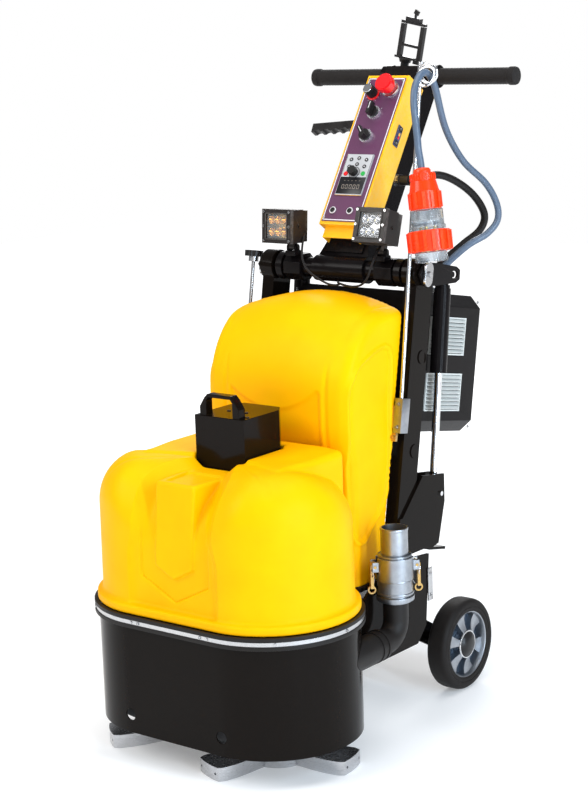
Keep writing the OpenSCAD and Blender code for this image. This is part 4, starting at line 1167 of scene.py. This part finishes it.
for side, sign in reversed(SIDES):
    plate = box(*sorted((sign * 206.2, sign * 209.4)), -121, -104, 228, 300, 1.0)
    spots = [place(WORLD, sign * 209.3, -112.5, z, 90 * sign, 'Y') for z in (240, 288)]
    piece("side_bolt_plate_" + side, [plate] + screws(3.6, 2.4, spots), "chassis", "stainless")

# sealing strip under the rear cover: both sides, then the front
seal = []
for sign in (1, -1):
    seal.append(box(*sorted((sign * 178, sign * 187)), -336, -262, 300, 310, 1.5))
    seal += screws(3.4, 2.4, [place(WORLD, sign * 186.9, y, 305, 90 * sign, 'Y')
                              for y in (-322, -298, -274)])
seal.append(box(-187, 187, -337, -330, 300, 310, 1.5))
piece("cover_seal", seal, "chassis", "rubber_black")

# ---------------------------------------------------------------- camlock
# (radius, z) profiles of the raised rings, each with its segment count
CAMLOCK_RINGS = [
    ([(35.4, 303), (37.6, 303), (38.1, 305), (37.6, 307), (35.4, 307)], 72),
    ([(35.4, 331), (37.4, 331), (37.9, 332.5), (37.4, 334), (35.4, 334)], 72),
    ([(33.2, 381), (34.6, 381.4), (34.9, 383.4), (34.0, 385), (33.0, 385.2)], 72),
    ([(27.5, 434), (28.6, 435), (28.9, 437.5), (28.3, 439.8), (27.5, 439.9)], 64)]
piece("camlock_rings",
      [moved(lathe(profile, sides), CAMLOCK) for profile, sides in CAMLOCK_RINGS],
      "chassis", "cast_alu")
# (x, distance to the lever's side, z) along the wire clip
CLIP = [(-3, 50, 318), (-11, 46, 312), (-17, 40, 322), (-15, 40, 340), (-6, 49, 346),
        (4, 50, 338), (12, 47, 346), (10, 50, 356)]
for which, sign in (("front", -1), ("rear", 1)):
    wire = tube([(x, sign * out, z) for x, out, z in CLIP], 1.0, 8, per_span=7)
    piece("safety_clip_" + which, [moved(wire, CAMLOCK)], "cam_lever_" + which,
          "bright_steel", split=60)

# ---------------------------------------------------------------- plug
RIDGES, PINS, PIN_CIRCLE = 28, 5, 15
gland_profile = [(15.5, 72.8), (17.5, 73), (17.5, 79), (15, 83), (8.4, 84.5), (8.0, 76),
                 (8.0, 72.8)]
piece("plug_gland", [moved(lathe(gland_profile, 40), PLUG)], "chassis", "orange_plastic")
piece("plug_knurl",
      [moved(box(24.6, 26.4, -1.1, 1.1, 58.5, 71, 0.5),
             place(PLUG, 0, 0, 0, 360 * k / RIDGES, 'Z')) for k in range(RIDGES)],
      "chassis", "orange_plastic")
pin = lathe([(0, -84), (2.6, -84), (3.4, -82), (3.4, -34), (0, -34)], 20)
piece("plug_pins",
      [moved(pin, place(PLUG, PIN_CIRCLE * cos(tau * k / PINS),
                        PIN_CIRCLE * sin(tau * k / PINS), 0)) for k in range(PINS)],
      "chassis", "stainless", BRASS)

# ---------------------------------------------------------------- cabinet screws
side_spots = [place(MAST, sign * 159.8, y, z, 90 * sign, 'Y')
              for sign in (1, -1) for y in (75, 308) for z in (-32, -305)]
back_spots = [place(MAST, x, 321.8, z, -90) for x in (-120, 120) for z in (-40, -298)]
piece("cabinet_screws", screws(3.4, 2.0, side_spots) + screws(4.0, 2.2, back_spots),
      "chassis", "stainless")

# ---------------------------------------------------------------- floor (metres)
FLOOR_SIZE, FLOOR_CELLS = 14, 24


def build_floor():
    """Pale floor whose glow grows with distance from the machine."""
    work = bmesh.new()
    for i in range(FLOOR_CELLS + 1):
        for j in range(FLOOR_CELLS + 1):
            work.verts.new((-FLOOR_SIZE / 2 + FLOOR_SIZE * i / FLOOR_CELLS,
                            -FLOOR_SIZE / 2 + FLOOR_SIZE * j / FLOOR_CELLS, 0))
    work.verts.ensure_lookup_table()
    row = FLOOR_CELLS + 1
    for i in range(FLOOR_CELLS):
        for j in range(FLOOR_CELLS):
            first = i * row + j
            work.faces.new([work.verts[k]
                            for k in (first, first + row, first + row + 1, first + 1)])
    mesh = bpy.data.meshes.new("floor")
    work.to_mesh(mesh)
    work.free()
    floor = bpy.data.objects.new("floor", mesh)
    bpy.context.scene.collection.objects.link(floor)
    floor.location.z = -0.0005
    pale = material(
        "pale_floor", base=(0.86, 0.86, 0.86), alt=(0.84, 0.84, 0.845), rough=0.6,
        rough_var=0.04, bump=0.02, bump_scale=60, patch=0.8, patch_amount=0.1,
        specular=0.1, glow=(1, 1, 1), glow_strength=0.34)
    mesh.materials.append(pale)
    nodes, link = pale.node_tree.nodes, pale.node_tree.links.new
    geometry = nodes.new("ShaderNodeNewGeometry")
    length = nodes.new("ShaderNodeVectorMath")
    length.operation = 'LENGTH'
    glow = nodes.new("ShaderNodeMapRange")
    glow.interpolation_type = 'SMOOTHSTEP'
    # from distance, to distance, glow near, glow far
    for i, value in enumerate((0.9, 4.2, 0.22, 0.93), start=1):
        glow.inputs[i].default_value = value
    link(geometry.outputs["Position"], length.inputs[0])
    link(length.outputs["Value"], glow.inputs[0])
    link(glow.outputs[0], nodes["Principled BSDF"].inputs["Emission Strength"])
    floor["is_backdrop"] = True


build_floor()


# ---------------------------------------------------------------- lights (metres, watts)
def area_light(name, location, target, size, power, colour=(1, 1, 1)):
    light = bpy.data.lights.new(name, 'AREA')
    light.shape = 'RECTANGLE'
    light.size, light.size_y = size
    light.energy = power
    light.color = colour
    lamp = bpy.data.objects.new(name, light)
    bpy.context.scene.collection.objects.link(lamp)
    lamp.location = location
    aim = Vector(target) - Vector(location)
    lamp.rotation_euler = aim.to_track_quat('-Z', 'Y').to_euler()


WARM, COOL = (1.0, 0.985, 0.96), (0.70, 0.85, 1.0)
area_light("key", location=(-1.9, -3.6, 3.3), target=(0, -0.3, 0.6), size=(2.2, 2.2),
           power=102, colour=WARM)
area_light("top", location=(0.3, -0.6, 3.6), target=(0, -0.3, 0.5), size=(2.6, 2.6), power=62)
area_light("strip_right", location=(3.3, -1.7, 1.4), target=(0.1, -0.4, 0.6),
           size=(0.24, 2.8), power=60, colour=COOL)
area_light("strip_right_b", location=(3.1, -0.55, 1.4), target=(0.1, -0.4, 0.6),
           size=(0.20, 2.8), power=55, colour=COOL)
area_light("fill", location=(2.6, -3.9, 1.9), target=(0, -0.3, 0.6), size=(1.8, 1.8), power=16)
area_light("back", location=(-1.4, 2.8, 2.4), target=(0, 0, 0.8), size=(2.0, 1.6), power=60)


def build_world():
    """Dim cool light on the machine, plain white behind it."""
    world = bpy.data.worlds.new("w")
    bpy.context.scene.world = world
    world.use_nodes = True
    nodes, link = world.node_tree.nodes, world.node_tree.links.new
    ambient = nodes["Background"]
    ambient.inputs[0].default_value = (0.95, 0.97, 1.0, 1)
    ambient.inputs[1].default_value = 0.30
    backdrop = nodes.new("ShaderNodeBackground")
    backdrop.inputs[0].default_value = (1, 1, 1, 1)
    backdrop.inputs[1].default_value = 1.0
    path = nodes.new("ShaderNodeLightPath")
    mix = nodes.new("ShaderNodeMixShader")
    link(path.outputs["Is Camera Ray"], mix.inputs[0])
    link(ambient.outputs[0], mix.inputs[1])
    link(backdrop.outputs[0], mix.inputs[2])
    link(mix.outputs[0], nodes["World Output"].inputs[0])


build_world()
bpy.context.scene.view_settings.view_transform = 'Standard'
bpy.context.scene.view_settings.look = 'None'

# ---------------------------------------------------------------- camera (metres, radians)
CAMERA_PLACE = (2.31990377239195, -3.2886792082260854, 1.4493065452692961)
AZIMUTH = 0.6590058468701476
DOWN_PITCH = 0.2017415288617853
ROLL = 0.03435617451708985
LENS = 84.1300886928037


def build_camera():
    forward = Vector((-sin(AZIMUTH) * cos(DOWN_PITCH), cos(AZIMUTH) * cos(DOWN_PITCH),
                      -sin(DOWN_PITCH)))
    level_right = Vector((cos(AZIMUTH), sin(AZIMUTH), 0))
    level_down = forward.cross(level_right)
    right = cos(ROLL) * level_right + sin(ROLL) * level_down
    down = -sin(ROLL) * level_right + cos(ROLL) * level_down
    lens = bpy.data.cameras.new("cam")
    lens.sensor_width = 36
    lens.lens = LENS
    lens.clip_start = 0.1
    lens.clip_end = 60
    camera = bpy.data.objects.new("cam", lens)
    bpy.context.scene.collection.objects.link(camera)
    turn = Matrix((right, -down, -forward)).transposed().to_4x4()
    camera.matrix_world = Matrix.Translation(CAMERA_PLACE) @ turn
    bpy.context.scene.camera = camera


build_camera()

low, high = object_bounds()
